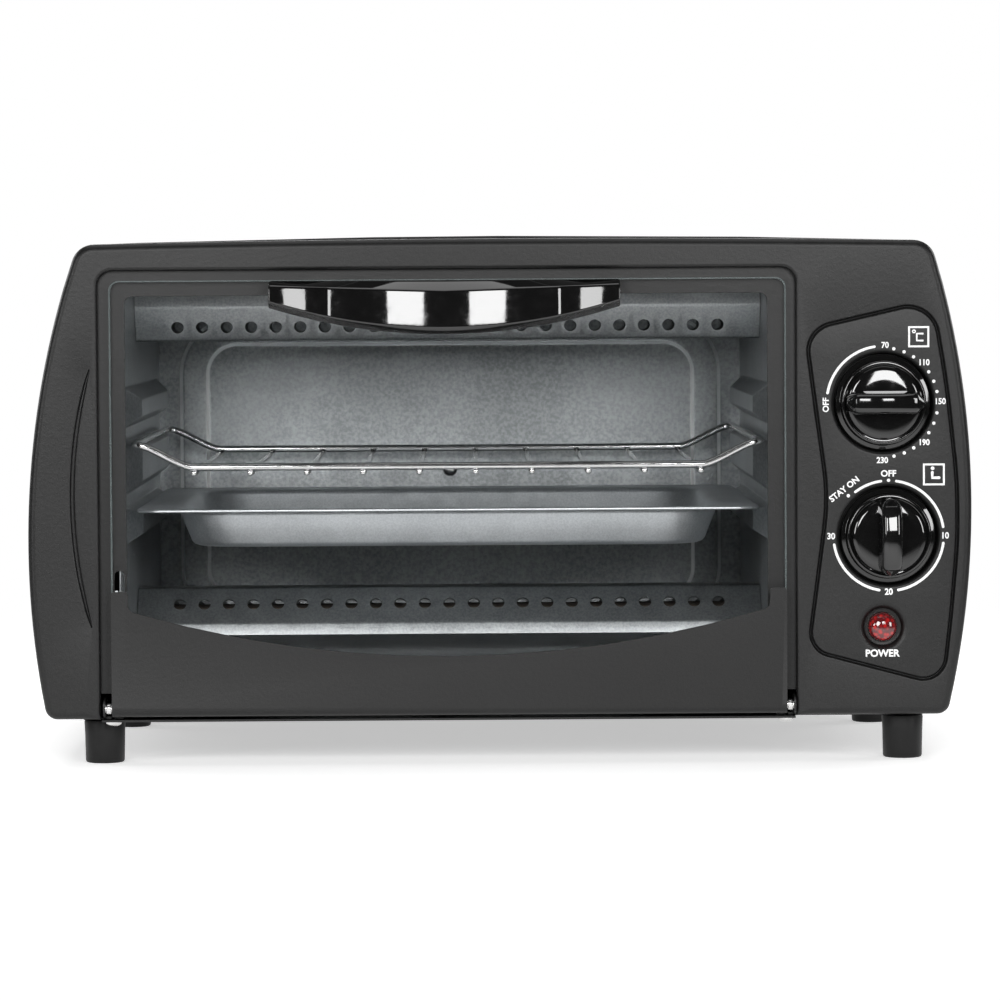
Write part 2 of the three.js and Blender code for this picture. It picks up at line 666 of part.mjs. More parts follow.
for (const side of [-1, 1]) {
  const name = side < 0 ? 'left' : 'right';
  const edge = doorX + side * doorHalf;
  const out = new THREE.Vector3(side, 0, 0);
  const radius = hinge.pinRadius;
  const pin = [
    [0, -6], [radius, -6], [radius, 0.3], [2.1, 0.3],
    [2.1, 2.4], [radius, 2.4], [radius, 3.6], [0, 3.6],
  ];
  add(`hinge_pin_${name}`, turned(pin, out, [edge, hinge.y, hinge.z], 14), chrome, doorGroup);

  const plateX = edge + side * 2.7;
  const [x0, x1] = [Math.min(plateX, plateX + side * 0.8), Math.max(plateX, plateX + side * 0.8)];
  const screwX = doorX + side * bracketScrew.offset;
  const tread = [Math.min(plateX, screwX - side * 4), Math.max(plateX, screwX - side * 4)];
  const low = basePlate.topZ + gap;
  add(`hinge_bracket_${name}`, cut(
    join(
      plate(
        outline([[-1.4, 18, 1], [4.4, low], [14, low], [14, 22, 2], [6, 24.5, 3], [-1.4, 23.5, 2]], 3),
        'yz', x0, x1),
      block(Math.min(...tread, x0), Math.max(...tread, x1), 4.7, 14, low, low + 1),
    ),
    plate(circle(hinge.y, hinge.z, radius + gap, 14), 'yz', x0 - 1, x1 + 1),
    plate(circle(screwX, bracketScrew.y, 1.9, 12), 'xy', low - 1, low + 2),
  ), blackPaint);
  const screw = [[0, -1.9], [1.8, -1.6], [3, -0.7], [3.3, -0.3], [1.5, -0.3], [1.5, 2.6], [0, 2.6]];
  add(`bracket_screw_${name}`, turned(screw, Y, [0, 0, 0], 14).rotate([90, 0, 0])
    .translate([screwX, bracketScrew.y, basePlate.bottomZ]), chrome);
}

add('door_spring', plate(circle(-152.6, 24, 2.2, 10), 'xz', 50, 110), chrome);

// ---------- Knobs ----------

function dialKnob(centre, ribAngle) {
  const { radius, reach } = knob;
  const skirtY = knob.wellDepth - gap;
  const skirt = turned([
    [0, -6], [14.6, -6], [15.4, -4.6], [radius, -2.6], [radius, skirtY], [0, skirtY],
  ], Y, [0, 0, 0], 28);
  const rib = plate(outline([
    [-15, -5], [15, -5], [15, 3.2 - reach, 3],
    [7, 0.4 - reach, 18], [-7, 0.4 - reach, 18], [-15, 3.2 - reach, 3],
  ], 3).reverse(), 'xy', -4.4, 4.4);
  const bore = rod([0, -13, 0], [0, 2, 0], 3.4, 14);
  return cut(join(skirt, rib), bore).rotate([0, ribAngle, 0]).translate([centre.x, 0, centre.z]);
}

for (const [name, centre, angle] of [['thermostat', thermostat, 0], ['timer', timer, 90]]) {
  add(`${name}_knob`, dialKnob(centre, angle), blackGloss);
  add(`${name}_shaft`, rod([centre.x, -12.6, centre.z], [centre.x, controlY - gap, centre.z], 3, 12), brass);
}

// ---------- Rack and trays ----------

// The end wires drop between two bends, and the grid hangs under them.
function wireRack() {
  const half = 122.8;
  const flat = 100.5;
  const bend = 4;
  const [frontY, rearY] = [12, 213];
  const [railZ, gridZ] = [122.9, 114];
  const plan = outline([
    [-half, frontY, bend], [-flat, frontY], [flat, frontY], [half, frontY, bend],
    [half, rearY, bend], [flat, rearY], [-flat, rearY], [-half, rearY, bend],
  ], 3);
  const rise = (x) => THREE.MathUtils.clamp((Math.abs(x) - flat) / (half - bend - flat), 0, 1);
  const frame = wireLoop(
    plan.map(({ x, y }) => new THREE.Vector3(cavityX + x, y, gridZ + (railZ - gridZ) * rise(x))), 1.5);
  const bars = [];
  for (let i = 0; i < 10; i += 1) {
    const x = cavityX + (i - 4.5) * 22.05;
    bars.push(rod([x, frontY - 0.8, gridZ - 2], [x, rearY + 0.8, gridZ - 2], 1.25, 6));
  }
  return join(frame, ...bars);
}

function pan(xHalf, y0, y1, z0, z1, slope) {
  const front = outline([
    [cavityX - xHalf + slope, z0], [cavityX + xHalf - slope, z0],
    [cavityX + xHalf, z1], [cavityX - xHalf, z1]]);
  const side = outline([[y0 + slope, z0], [y1 - slope, z0], [y1, z1], [y0, z1]]);
  return plate(front, 'xz', y0 - 5, y1 + 5).intersect(plate(side, 'yz', -200, 200));
}

function bakingTray() {
  const rimZ = 96.1;
  const floorZ = 81.5;
  const rim = plate(rectangle(cavityX - 122.6, cavityX + 122.6, 15, 212, 8), 'xy', rimZ, rimZ + sheet);
  return cut(
    join(rim, pan(107.6, 24, 203, floorZ, rimZ + sheet, 6)),
    pan(106.4, 25.2, 201.8, floorZ + sheet, rimZ + sheet + 0.2, 5.6),
  );
}

function crumbTray() {
  const low = cavity.floorZ + gap;
  const half = 125.4;
  return cut(
    block(cavityX - half, cavityX + half, 8, 228, low, low + 5),
    block(cavityX - half + sheet, cavityX + half - sheet, 8 + sheet, 228 - sheet, low + sheet, low + 6),
  );
}

add('wire_rack', wireRack(), chrome);
add('baking_tray', bakingTray(), aluminised);
add('crumb_tray', crumbTray(), galvanised);

export default oven;
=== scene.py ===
import math
import bpy
import bmesh
from mathutils import Matrix, Vector
from mathutils.geometry import delaunay_2d_cdt, tessellate_polygon


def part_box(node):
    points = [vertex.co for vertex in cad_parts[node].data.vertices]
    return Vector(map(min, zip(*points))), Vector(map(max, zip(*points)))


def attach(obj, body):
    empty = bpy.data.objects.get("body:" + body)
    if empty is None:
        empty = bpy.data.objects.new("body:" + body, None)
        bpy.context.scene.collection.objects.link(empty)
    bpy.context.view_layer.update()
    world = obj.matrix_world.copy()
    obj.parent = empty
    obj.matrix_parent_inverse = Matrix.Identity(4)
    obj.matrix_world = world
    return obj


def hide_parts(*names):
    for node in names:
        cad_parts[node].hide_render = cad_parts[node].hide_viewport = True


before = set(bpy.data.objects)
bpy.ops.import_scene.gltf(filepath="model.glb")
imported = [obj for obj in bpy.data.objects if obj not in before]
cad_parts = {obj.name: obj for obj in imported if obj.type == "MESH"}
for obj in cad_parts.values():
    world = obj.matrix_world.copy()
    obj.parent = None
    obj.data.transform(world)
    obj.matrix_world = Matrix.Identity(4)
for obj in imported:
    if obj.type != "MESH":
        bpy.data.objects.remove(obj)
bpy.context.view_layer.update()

scene = bpy.context.scene


# ---------- The table and the light ----------
# A pale seamless table top that fades into a white room. Four upright soft boxes stand in front,
# two near the middle and two at the sides. A large one hangs overhead, and three stand behind.

class Wire:
    """One value in a material. Sums on wires add their Math nodes."""

    def __init__(self, finish, socket):
        self.finish = finish
        self.socket = socket

    def _sum(self, operation, *values):
        return self.finish.node("Math", {"operation": operation}, dict(enumerate(values)))

    def __add__(self, other):
        return self._sum("ADD", self, other)

    def __mul__(self, other):
        return self._sum("MULTIPLY", self, other)

    def __sub__(self, other):
        return self._sum("SUBTRACT", self, other)

    def __rsub__(self, other):
        return self._sum("SUBTRACT", other, self)

    __radd__ = __add__
    __rmul__ = __mul__

    def between(self, low, high):
        """0 below low, 1 above high, and a smooth rise from one to the other."""
        return self.finish.node("MapRange", {"interpolation_type": "SMOOTHSTEP"},
                                {"Value": self, "From Min": low, "From Max": high})


class Finish:
    """A material in the making. A node is asked for by type, settings and sockets."""

    def __init__(self, name, tree=None):
        self.material = None
        if tree is None:
            self.material = bpy.data.materials.new(name)
            self.material.use_nodes = True
            tree = self.material.node_tree
        self.tree = tree
        self.tree.nodes.clear()

    def node(self, kind, settings=None, sockets=None, output=0):
        made = self.tree.nodes.new("ShaderNode" + kind)
        for name, value in (settings or {}).items():
            setattr(made, name, value)
        for name, value in (sockets or {}).items():
            socket = made.inputs[name]
            if isinstance(value, Wire):
                self.tree.links.new(value.socket, socket)
            else:
                socket.default_value = value
        return Wire(self, made.outputs[output])

    def place(self):
        """Where a point is on the object, in metres."""
        return self.node("TexCoord", output="Object")

    def noise(self, scale, detail=2.0, stretch=(1, 1, 1)):
        spot = self.node("Mapping", {"vector_type": "POINT"}, {"Vector": self.place(), "Scale": stretch})
        return self.node("TexNoise", {}, {"Vector": spot, "Scale": scale, "Detail": detail})

    def blend(self, share, first, second):
        """A colour between two colours."""
        return self.node("Mix", {"data_type": "RGBA"}, {0: share, 6: first, 7: second}, output=2)

    def bump(self, height, depth):
        return self.node("Bump", {}, {"Height": height, "Strength": 1.0, "Distance": depth})

    def shade(self, **sockets):
        named = {name.replace("_", " "): value for name, value in sockets.items()}
        shader = self.node("BsdfPrincipled", {}, named)
        self.node_out(shader)
        return self.material

    def node_out(self, shader, kind="OutputMaterial"):
        out = self.tree.nodes.new("ShaderNode" + kind)
        self.tree.links.new(shader.socket, out.inputs["Surface"])


def grey(value, warm=0.0):
    return (value * (1 + warm), value, value * (1 - warm), 1)


room = bpy.data.worlds.new("room")
room.use_nodes = True
air = Finish("room", room.node_tree)
seen = air.node("LightPath", output="Is Camera Ray")
air.node_out(air.node("Background", {}, {
    "Color": air.blend(seen, grey(0.03), grey(1.0)), "Strength": 1.0}), "OutputWorld")
scene.world = room

table = bpy.data.meshes.new("table_top")
table_sides, table_radius = 72, 4.0
table_turns = [math.tau * i / table_sides for i in range(table_sides)]
table.from_pydata(
    [(table_radius * math.cos(turn), table_radius * math.sin(turn), 0) for turn in table_turns],
    [], [tuple(range(table_sides))])
table_top = bpy.data.objects.new("table_top", table)
scene.collection.objects.link(table_top)
laminate = Finish("pale_laminate")
fade_from, fade_to = 0.30, 0.80
spread = laminate.node("VectorMath", {"operation": "LENGTH"}, {0: laminate.place()}, output="Value")
table.materials.append(laminate.shade(
    Base_Color=laminate.blend(laminate.noise(60.0), grey(0.88), grey(0.90)), Roughness=0.6,
    Specular_IOR_Level=0.2, Emission_Color=grey(1.0), Emission_Strength=0.5,
    Alpha=1 - spread.between(fade_from, fade_to)))

eye = Vector((-0.011, -1.9105, 0.1867))
sight = Vector((0.0, -0.1105, 0.1031))
lean = math.radians(0.35)
camera = bpy.data.objects.new("camera", bpy.data.cameras.new("camera"))
camera.data.lens = 166.7
camera.data.sensor_width = 36.0
camera.data.clip_start = 0.05
camera.location = eye
turned = (sight - eye).to_track_quat("-Z", "Y").to_matrix() @ Matrix.Rotation(-lean, 3, "Z")
camera.rotation_euler = turned.to_euler()
scene.collection.objects.link(camera)
scene.camera = camera
scene.view_settings.view_transform = "Standard"


def soft_box(name, place, wide, high, brightness, aim=(0.0, -0.1, 0.12)):
    """brightness is what its face would show in a mirror, where 1 is white."""
    lamp_data = bpy.data.lights.new(name, "AREA")
    lamp_data.shape = "RECTANGLE"
    lamp_data.size = wide
    lamp_data.size_y = high
    lamp_data.energy = brightness * math.pi * wide * high
    lamp_object = bpy.data.objects.new(name, lamp_data)
    lamp_object.location = place
    lamp_object.rotation_euler = (Vector(aim) - Vector(place)).to_track_quat("-Z", "Y").to_euler()
    lamp_object.visible_camera = False
    scene.collection.objects.link(lamp_object)


soft_box("front_box_left", (-0.265, -0.98, 0.345), 0.236, 0.281, 15.5)
soft_box("front_box_right", (0.246, -0.98, 0.345), 0.236, 0.281, 15.5)
soft_box("side_box_left", (-1.261, -1.085, 0.40), 0.34, 0.56, 10.0)
soft_box("side_box_right", (1.261, -1.085, 0.40), 0.34, 0.56, 10.0)
soft_box("overhead_box", (0.0, 0.1, 1.7), 1.6, 1.6, 1.3)
soft_box("rear_box", (0.0, 1.9, 0.9), 1.4, 0.8, 4.0)
soft_box("rear_side_box_left", (-1.5, 0.9, 0.7), 0.9, 0.9, 4.0)
soft_box("rear_side_box_right", (1.5, 0.9, 0.7), 0.9, 0.9, 4.0)


# ---------- Front panel ----------
# One black panel: left cheek, top bar and control side, open below for the door. Pressed steel,
# powder coated, with a soft edge all round. Two knob wells, a lamp recess, a groove round the
# controls and a crescent groove in the cheek are pressed into it.

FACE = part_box("front_panel")[0].y * 1000
RISE = 2.1


def place(x, depth, z):
    """Millimetres right of the middle, back from the panel's face and up, as a point in the row's frame."""
    return Vector((x, FACE + depth, z + RISE)) / 1000


def dress(name, mesh, finishes, sharp=35):
    """An object at the origin, smooth but for edges sharper than so many degrees."""
    for finish in finishes:
        mesh.materials.append(finish)
    mesh.shade_smooth()
    mesh.set_sharp_from_angle(angle=math.radians(sharp))
    made = bpy.data.objects.new(name, mesh)
    scene.collection.objects.link(made)
    return made


def face_out(mesh, weld=None):
    """Joins the points that lie within weld of each other, and turns every face outwards."""
    shell = bmesh.new()
    shell.from_mesh(mesh)
    if weld:
        bmesh.ops.remove_doubles(shell, verts=shell.verts, dist=weld)
    bmesh.ops.recalc_face_normals(shell, faces=shell.faces)
    shell.to_mesh(mesh)
    shell.free()


def applied(holder):
    """The holder's shape with its modifiers applied, as a mesh of its own."""
    bpy.context.view_layer.update()
    return bpy.data.meshes.new_from_object(holder.evaluated_get(bpy.context.evaluated_depsgraph_get()))


def build(name, points, faces, *finishes, sharp=35, outward=True):
    """An object from points in millimetres, given as (across, back from the face, up)."""
    mesh = bpy.data.meshes.new(name)
    mesh.from_pydata([place(*point) for point in points], [], faces)
    if outward:
        face_out(mesh)
    mesh.validate()
    return dress(name, mesh, finishes, sharp)


def thicken(made, thickness, sharp=35):
    """Gives a skin its wall, inwards, and makes the result plain."""
    wall = made.modifiers.new("wall", "SOLIDIFY")
    wall.thickness = thickness
    wall.offset = -1
    solid = applied(made)
    made.modifiers.remove(wall)
    solid.name = made.data.name
    made.data = solid
    solid.shade_smooth()
    solid.set_sharp_from_angle(angle=math.radians(sharp))


def rounded(corners, steps=8):
    """Corners are (a, b, radius); the outline comes back as Vectors, with arcs at the corners."""
    points = []
    for i, (a, b, radius) in enumerate(corners):
        corner = Vector((a, b))
        if radius == 0:
            points.append(corner)
            continue
        back = (Vector(corners[i - 1][:2]) - corner).normalized()
        ahead = (Vector(corners[(i + 1) % len(corners)][:2]) - corner).normalized()
        half = back.angle(ahead) / 2
        centre = corner + (back + ahead).normalized() * (radius / math.sin(half))
        start = corner + back * (radius / math.tan(half)) - centre
        end_at = corner + ahead * (radius / math.tan(half)) - centre
        turn = math.atan2(start.cross(end_at), start.dot(end_at))
        points += [centre + Matrix.Rotation(turn * k / steps, 2) @ start for k in range(steps + 1)]
    return points


def circle(a, b, radius, count=64):
    return [Vector((a + radius * math.cos(math.tau * i / count), b + radius * math.sin(math.tau * i / count)))
            for i in range(count)]


def inset(outline, distance):
    """An anticlockwise outline drawn in by a distance, or by one distance for each corner."""
    moved = []
    count = len(outline)
    for i, point in enumerate(outline):
        before = (point - outline[i - 1]).normalized()
        after = (outline[(i + 1) % count] - point).normalized()
        normal = (Vector((-before.y, before.x)) + Vector((-after.y, after.x))).normalized()
        mitre = max(0.4, normal.dot(Vector((-after.y, after.x))))
        far = distance[i] if isinstance(distance, list) else distance
        moved.append(point + normal * (far / mitre))
    return moved


def inside(point, outline):
    """True when the point lies in the outline."""
    odd = False
    for i, b in enumerate(outline):
        a = outline[i - 1]
        if (a.y > point.y) != (b.y > point.y):
            if point.x < a.x + (point.y - a.y) * (b.x - a.x) / (b.y - a.y):
                odd = not odd
    return odd


def sheet(loops, holes=()):
    """Triangles over outlines drawn at their own depths. The first is the edge, and holes stay open."""
    flat, lines, points = [], [], []
    for outline, depth in loops:
        start = len(flat)
        flat += outline
        lines += [(start + i, start + (i + 1) % len(outline)) for i in range(len(outline))]
        points += [(p.x, depth, p.y) for p in outline]
    spots, _, triangles, origin, _, _ = delaunay_2d_cdt(flat, lines, [], 0, 1e-5)
    faces = []
    for triangle in triangles:
        middle = sum((spots[i] for i in triangle), Vector((0, 0))) / 3
        if inside(middle, loops[0][0]) and not any(inside(middle, hole) for hole in holes):
            faces.append(tuple(origin[i][0] for i in triangle))
    return points, faces


def bridge(faces, first, second, count):
    """Quads between two rings of the same number of points, which start at these places in the list."""
    for i in range(count):
        j = (i + 1) % count
        faces.append((first + i, first + j, second + j, second + i))


half_width, side_radius = 183.9, 350.0
panel_low, panel_high = 16.2, 201.1


def side_x(z, waist_z):
    """Half the width at a height, on the arc whose widest point is the waist."""
    return half_width - side_radius + math.sqrt(side_radius ** 2 - (z - waist_z) ** 2)


def body_outline(crown, notch=()):
    """Front view of the body, anticlockwise from low on the left; the notch breaks the lower edge."""
    low, high, waist_left, waist_right = panel_low, panel_high, 84.0, 97.0
    right = [(side_x(z, waist_right), z, 0) for z in range(28, 188, 6)]
    top = [(x, high + crown * (1 - (x / side_x(high, waist_right)) ** 2), 0) for x in range(156, -157, -12)]
    left = [(-side_x(z, waist_left), z, 0) for z in range(184, 27, -6)]
    return ([(-side_x(low, waist_left), low, 5)] + list(notch) + [(side_x(low, waist_right), low, 5)] + right
            + [(side_x(high, waist_right), high, 9)] + top + [(-side_x(high, waist_left), high, 9)] + left)


door_left, door_right, door_top = -156.2, 115.4, 191.0
notch = [(door_left - 6, panel_low, 0), (door_left, panel_low, 0), (door_left, 60, 0),
         (door_left, 130, 0), (door_left, door_top, 6), (door_right, door_top, 6), (door_right, 130, 0),
         (door_right, 60, 0), (door_right, panel_low, 0), (door_right + 6, panel_low, 0)]
edge = rounded(body_outline(1.6, notch))


def by_doorway(point):
    """True on the part of the edge that runs round the doorway, which is folded back less."""
    return door_left - 3 < point.x < door_right + 3 and point.y < door_top + 0.1


soft_edge = [1.2 if by_doorway(point) else 2.9 for point in edge]
skirt = [4.0 if by_doorway(point) else 14.0 for point in edge]
panel_points, panel_faces = [], []
count = len(edge)
panel_points += [(point.x, depth, point.y) for point, depth in zip(edge, skirt)]
for step in range(7):
    turn = math.radians(15 * step)
    ring = inset(edge, [round_off * (1 - math.cos(turn)) for round_off in soft_edge])
    panel_points += [(point.x, round_off * (1 - math.sin(turn)), point.y)
                     for point, round_off in zip(ring, soft_edge)]
for step in range(7):
    bridge(panel_faces, step * count, (step + 1) * count, count)

rim = inset(edge, soft_edge)
island = rounded([
    (120.0, 41.8, 9), (172.4, 27.8, 9), (175.6, 55, 300), (178.1, 84, 200), (178.1, 107, 200),
    (174.0, 144.7, 300), (168.6, 177.8, 12), (119.0, 166.5, 11), (127.8, 101, 90)], 12)
loops = [(rim, 0.0), (inset(rim, 0.2), 0.0)]
for grown, depth in (
        (-1.2, 0), (-0.95, 0.03), (-0.75, 0.2), (-0.58, 0.7), (-0.4, 1.4), (-0.15, 1.8), (0, 1.85),
        (0.15, 1.8), (0.4, 1.4), (0.58, 0.7), (0.75, 0.2), (0.95, 0.03), (1.2, 0)):
    loops.append((inset(island, grown), depth))
cheek_turn = math.radians(16.0)
cheek_x, cheek_z, cheek_radius = 14.8, 102.5, 181.2
for grown, depth in ((1.5, 0), (1.2, 0.03), (0.95, 0.2), (0.8, 0.7), (0.6, 1.3), (0.3, 1.5), (0.1, 1.5)):
    arc = []
    reach = cheek_turn + 0.3 * grown / cheek_radius
    for side, turns in ((1, range(41)), (-1, range(40, -1, -1))):
        for k in turns:
            share = k / 20 - 1
            radius = cheek_radius + side * grown * (1 - 0.8 * share ** 6)
            turn = math.pi + reach * share
            arc.append(Vector((cheek_x + radius * math.cos(turn), cheek_z + radius * math.sin(turn))))
    loops.append((arc, depth))
thermostat = (149.3, 138.0)
timer = (151.3, 86.1)
lamp = (149.0, 50.5)
holes = []
for centre in (thermostat, timer):
    for radius, depth in ((20.9, 0), (20.7, 0.01), (20.3, 0.07), (19.9, 0.25), (19.6, 0.6), (19.4, 1.2),
                          (19.3, 2.6), (19.2, 6.2), (19.0, 6.7), (18.6, 6.8), (4.9, 6.8), (4.5, 6.8)):
        loops.append((circle(*centre, radius, 96), depth))
    holes.append(loops[-1][0])
for radius, depth in ((9.9, 0), (9.6, 0.01), (8.9, 0.14), (8.3, 0.5), (7.8, 1.1),
                      (7.5, 2.0), (7.3, 2.6), (7.0, 2.8), (5.8, 2.8)):
    loops.append((circle(*lamp, radius, 72), depth))
holes.append(loops[-1][0])
flat_points, flat_faces = sheet(loops, holes)
start = len(panel_points)
panel_points += flat_points
panel_faces += [tuple(i + start for i in face) for face in flat_faces]

coat = Finish("black_powder_coat")
grain = coat.noise(2600.0, 2.0)
cloud = coat.noise(30.0, 3.0)
orange_peel = coat.noise(700.0, 1.0)
speck = coat.noise(1500.0, 0.0).between(0.74, 0.80)
tone = grain.between(0.35, 0.68) * 0.7 + cloud * 0.2 + speck * 0.5
powder_coat = coat.shade(
    Base_Color=coat.blend(tone, grey(0.004), grey(0.012)),
    Roughness=0.34 + grain * 0.10 + cloud * 0.05, Specular_IOR_Level=0.36,
    Normal=coat.bump(grain * 0.6 + orange_peel * 0.8, 0.00006))

front = build("front_panel_pressing", panel_points, panel_faces, powder_coat)
face_out(front.data, 1e-6)
panel_sheet, inner_sheet = 0.0011, 0.0009
thicken(front, panel_sheet)
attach(front, "body")
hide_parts("front_panel")


# ---------- Print on the control side ----------
# Dial marks, numbers, two small signs and the word under the lamp. White pad print,
# a thin skin of ink on the powder coat.

print_points, print_faces = [], []
ink_top, ink_back = -0.05, 0.03


def ink(outline, hollow=None):
    """A flat mark with the outline's shape, and a hollow when it is a frame."""
    start = len(print_points)
    count = len(outline)
    for depth in (ink_top, ink_back):
        print_points.extend((p.x, depth, p.y) for p in outline)
        if hollow:
            print_points.extend((p.x, depth, p.y) for p in hollow)
    layer = count * (2 if hollow else 1)
    if hollow:
        for base in (start, start + layer):
            bridge(print_faces, base, base + count, count)
        bridge(print_faces, start, start + layer, count)
        bridge(print_faces, start + count, start + layer + count, count)
    else:
        for base in (start, start + layer):
            for a, b, c in tessellate_polygon([[p.to_3d() for p in outline]]):
                print_faces.append((base + a, base + b, base + c))
        bridge(print_faces, start, start + layer, count)


def stroke(points, wide):
    """A line of even width with round ends."""
    left, right = [], []
    for i, point in enumerate(points):
        along = (points[min(i + 1, len(points) - 1)] - points[max(i - 1, 0)]).normalized()
        normal = Vector((-along.y, along.x)) * wide / 2
        left.append(point + normal)
        right.append(point - normal)
    cap = []
    for point, outer in ((points[-1], left[-1]), (points[0], right[0])):
        cap.append([point + Matrix.Rotation(-math.pi * k / 6, 2) @ (outer - point) for k in range(1, 6)])
    ink(left + cap[0] + right[::-1] + cap[1])


def dial_arc(centre, radius, start, end, wide):
    """Degrees run clockwise from the top."""
    points = []
    steps = max(4, int(abs(end - start) / 3))
    for k in range(steps + 1):
        turn = math.radians(start + (end - start) * k / steps)
        points.append(Vector((centre[0] + radius * math.sin(turn), centre[1] + radius * math.cos(turn))))
    stroke(points, wide)


def on_dial(centre, radius, degrees):
    turn = math.radians(degrees)
    return centre[0] + radius * math.sin(turn), centre[1] + radius * math.cos(turn)


def lettering(words, height, centre, degrees=0.0, weight=0.03, wide=1.0):
    curve = bpy.data.curves.new("lettering", "FONT")
    curve.body = words
    curve.size = 1.0
    curve.offset = weight
    curve.resolution_u = 4
    curve.extrude = 0.01
    holder = bpy.data.objects.new("lettering", curve)
    scene.collection.objects.link(holder)
    letters = applied(holder)
    bpy.data.objects.remove(holder)
    low = Vector((min(v.co.x for v in letters.vertices), min(v.co.y for v in letters.vertices)))
    high = Vector((max(v.co.x for v in letters.vertices), max(v.co.y for v in letters.vertices)))
    scale = height / (high.y - low.y)
    turn = Matrix.Rotation(-math.radians(degrees), 2)
    start = len(print_points)
    for vertex in letters.vertices:
        spot = (vertex.co.to_2d() - (low + high) / 2) * scale
        spot.x *= wide
        spot = turn @ spot
        depth = ink_top if vertex.co.z > 0 else ink_back
        print_points.append((centre[0] + spot.x, depth, centre[1] + spot.y))
    print_faces.extend(tuple(start + i for i in face.vertices) for face in letters.polygons)
    bpy.data.meshes.remove(letters)


for number, degrees in ((70, 2), (110, 46), (150, 89), (190, 134), (230, 181)):
    lettering(str(number), 2.45, on_dial(thermostat, 22.4, degrees), wide=0.92)
for gap in range(4):
    for k in range(1, 4):
        ink(circle(*on_dial(thermostat, 21.3, gap * 45 + k * 11.25), 0.64, 20)[::-1])
dial_arc(thermostat, 22.0, -80, -9, 1.0)
lettering("OFF", 2.45, on_dial(thermostat, 22.4, -92), -90)

for start_at, end_at in ((8, 81), (98, 170), (190, 261), (-37, -8)):
    dial_arc(timer, 21.5, start_at, end_at, 1.0)
for degrees, radius in ((0, 21.6), (-45, 22.2)):
    ink(circle(*on_dial(timer, radius, degrees), 0.66, 20)[::-1])
for words, radius, degrees in (("10", 22.2, 90), ("20", 21.8, 180), ("30", 22.4, -90), ("OFF", 24.3, 0)):
    lettering(words, 2.6, on_dial(timer, radius, degrees), wide=0.92 if words != "OFF" else 1.0)
lettering("STAY ON", 2.5, on_dial(timer, 25.2, -43.5), -38)
lettering("POWER", 2.9, (148.9, 40.3))

for (x, z), size in (((163.15, 163.5), 8.2), ((168.95, 109.9), 8.5)):
    half = size / 2
    frame_line = [Vector((x + a * half, z + b * half)) for a, b in ((-1, -1), (1, -1), (1, 1), (-1, 1))]
    ink(frame_line, inset(frame_line, 0.72))
ink(circle(161.3, 165.6, 0.74, 20), circle(161.3, 165.6, 0.34, 20))
stroke([Vector(p) for p in ((164.7, 164.7), (162.4, 164.7), (162.4, 162.0), (164.7, 162.0))], 0.75)
ink(circle(168.45, 112.3, 0.72, 20)[::-1])
stroke([Vector(p) for p in ((168.35, 110.7), (168.35, 108.6), (171.0, 108.6))], 1.1)

inked = Finish("white_print")
worn = inked.noise(900.0, 3.0)
white_print = inked.shade(
    Base_Color=inked.blend(worn.between(0.3, 0.7), grey(0.78), grey(0.93)),
    Roughness=0.42 + worn * 0.2, Normal=inked.bump(worn, 0.00001))
marks = build("control_print", print_points, print_faces, white_print)
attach(marks, "body")


# ---------- Outer cover, back cover and base ----------
# The cover is one sheet of steel wrapped round the sides and top, with punched vents near the back
# of the control side. The rear cover is a shallow pan with rows of slots, and a flat plate closes
# the bottom. All three are powder coated.


def remade(node, name, finish, soft=0.0004, segments=2, sharp=35):
    """A copy of a CAD piece with its seams closed, its flat faces whole and its edges softened."""
    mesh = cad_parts[node].data.copy()
    mesh.name = name
    mesh.materials.clear()
    shell = bmesh.new()
    shell.from_mesh(mesh)
    bmesh.ops.remove_doubles(shell, verts=shell.verts, dist=2e-6)
    bmesh.ops.dissolve_limit(shell, angle_limit=math.radians(0.6), verts=shell.verts, edges=shell.edges)
    shell.to_mesh(mesh)
    shell.free()
    for attribute in [a.name for a in mesh.attributes if a.name.startswith("custom_normal")]:
        mesh.attributes.remove(mesh.attributes[attribute])
    made = dress(name, mesh, [finish], sharp)
    if soft:
        bevel = made.modifiers.new("soft edges", "BEVEL")
        bevel.width = soft
        bevel.segments = segments
        bevel.limit_method = "ANGLE"
        bevel.angle_limit = math.radians(sharp)
        bevel.harden_normals = True
    return made


wrap = Finish("cover_powder_coat")
wrap_grain = wrap.noise(2400.0, 2.0)
wrap_cloud = wrap.noise(24.0, 3.0)
cover_coat = wrap.shade(
    Base_Color=wrap.blend(wrap_grain.between(0.35, 0.68) * 0.7 + wrap_cloud * 0.3, grey(0.008), grey(0.020)),
    Roughness=0.52 + wrap_grain * 0.12 + wrap_cloud * 0.05, Specular_IOR_Level=0.3,
    Normal=wrap.bump(wrap_grain, 0.00006))
for node in ("outer_cover", "back_cover"):
    cover = remade(node, node + "_sheet", cover_coat, 0.0004 if node == "outer_cover" else 0)
    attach(cover, "body")
    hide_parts(node)

base = remade("base_plate", "base_plate_sheet", powder_coat, 0.0002, 1)
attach(base, "body")
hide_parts("base_plate")


# ---------- Feet ----------
# Four moulded black plastic feet, slightly tapered, with a soft lower edge and a recess for the screw.
# They are screwed up through the base plate.


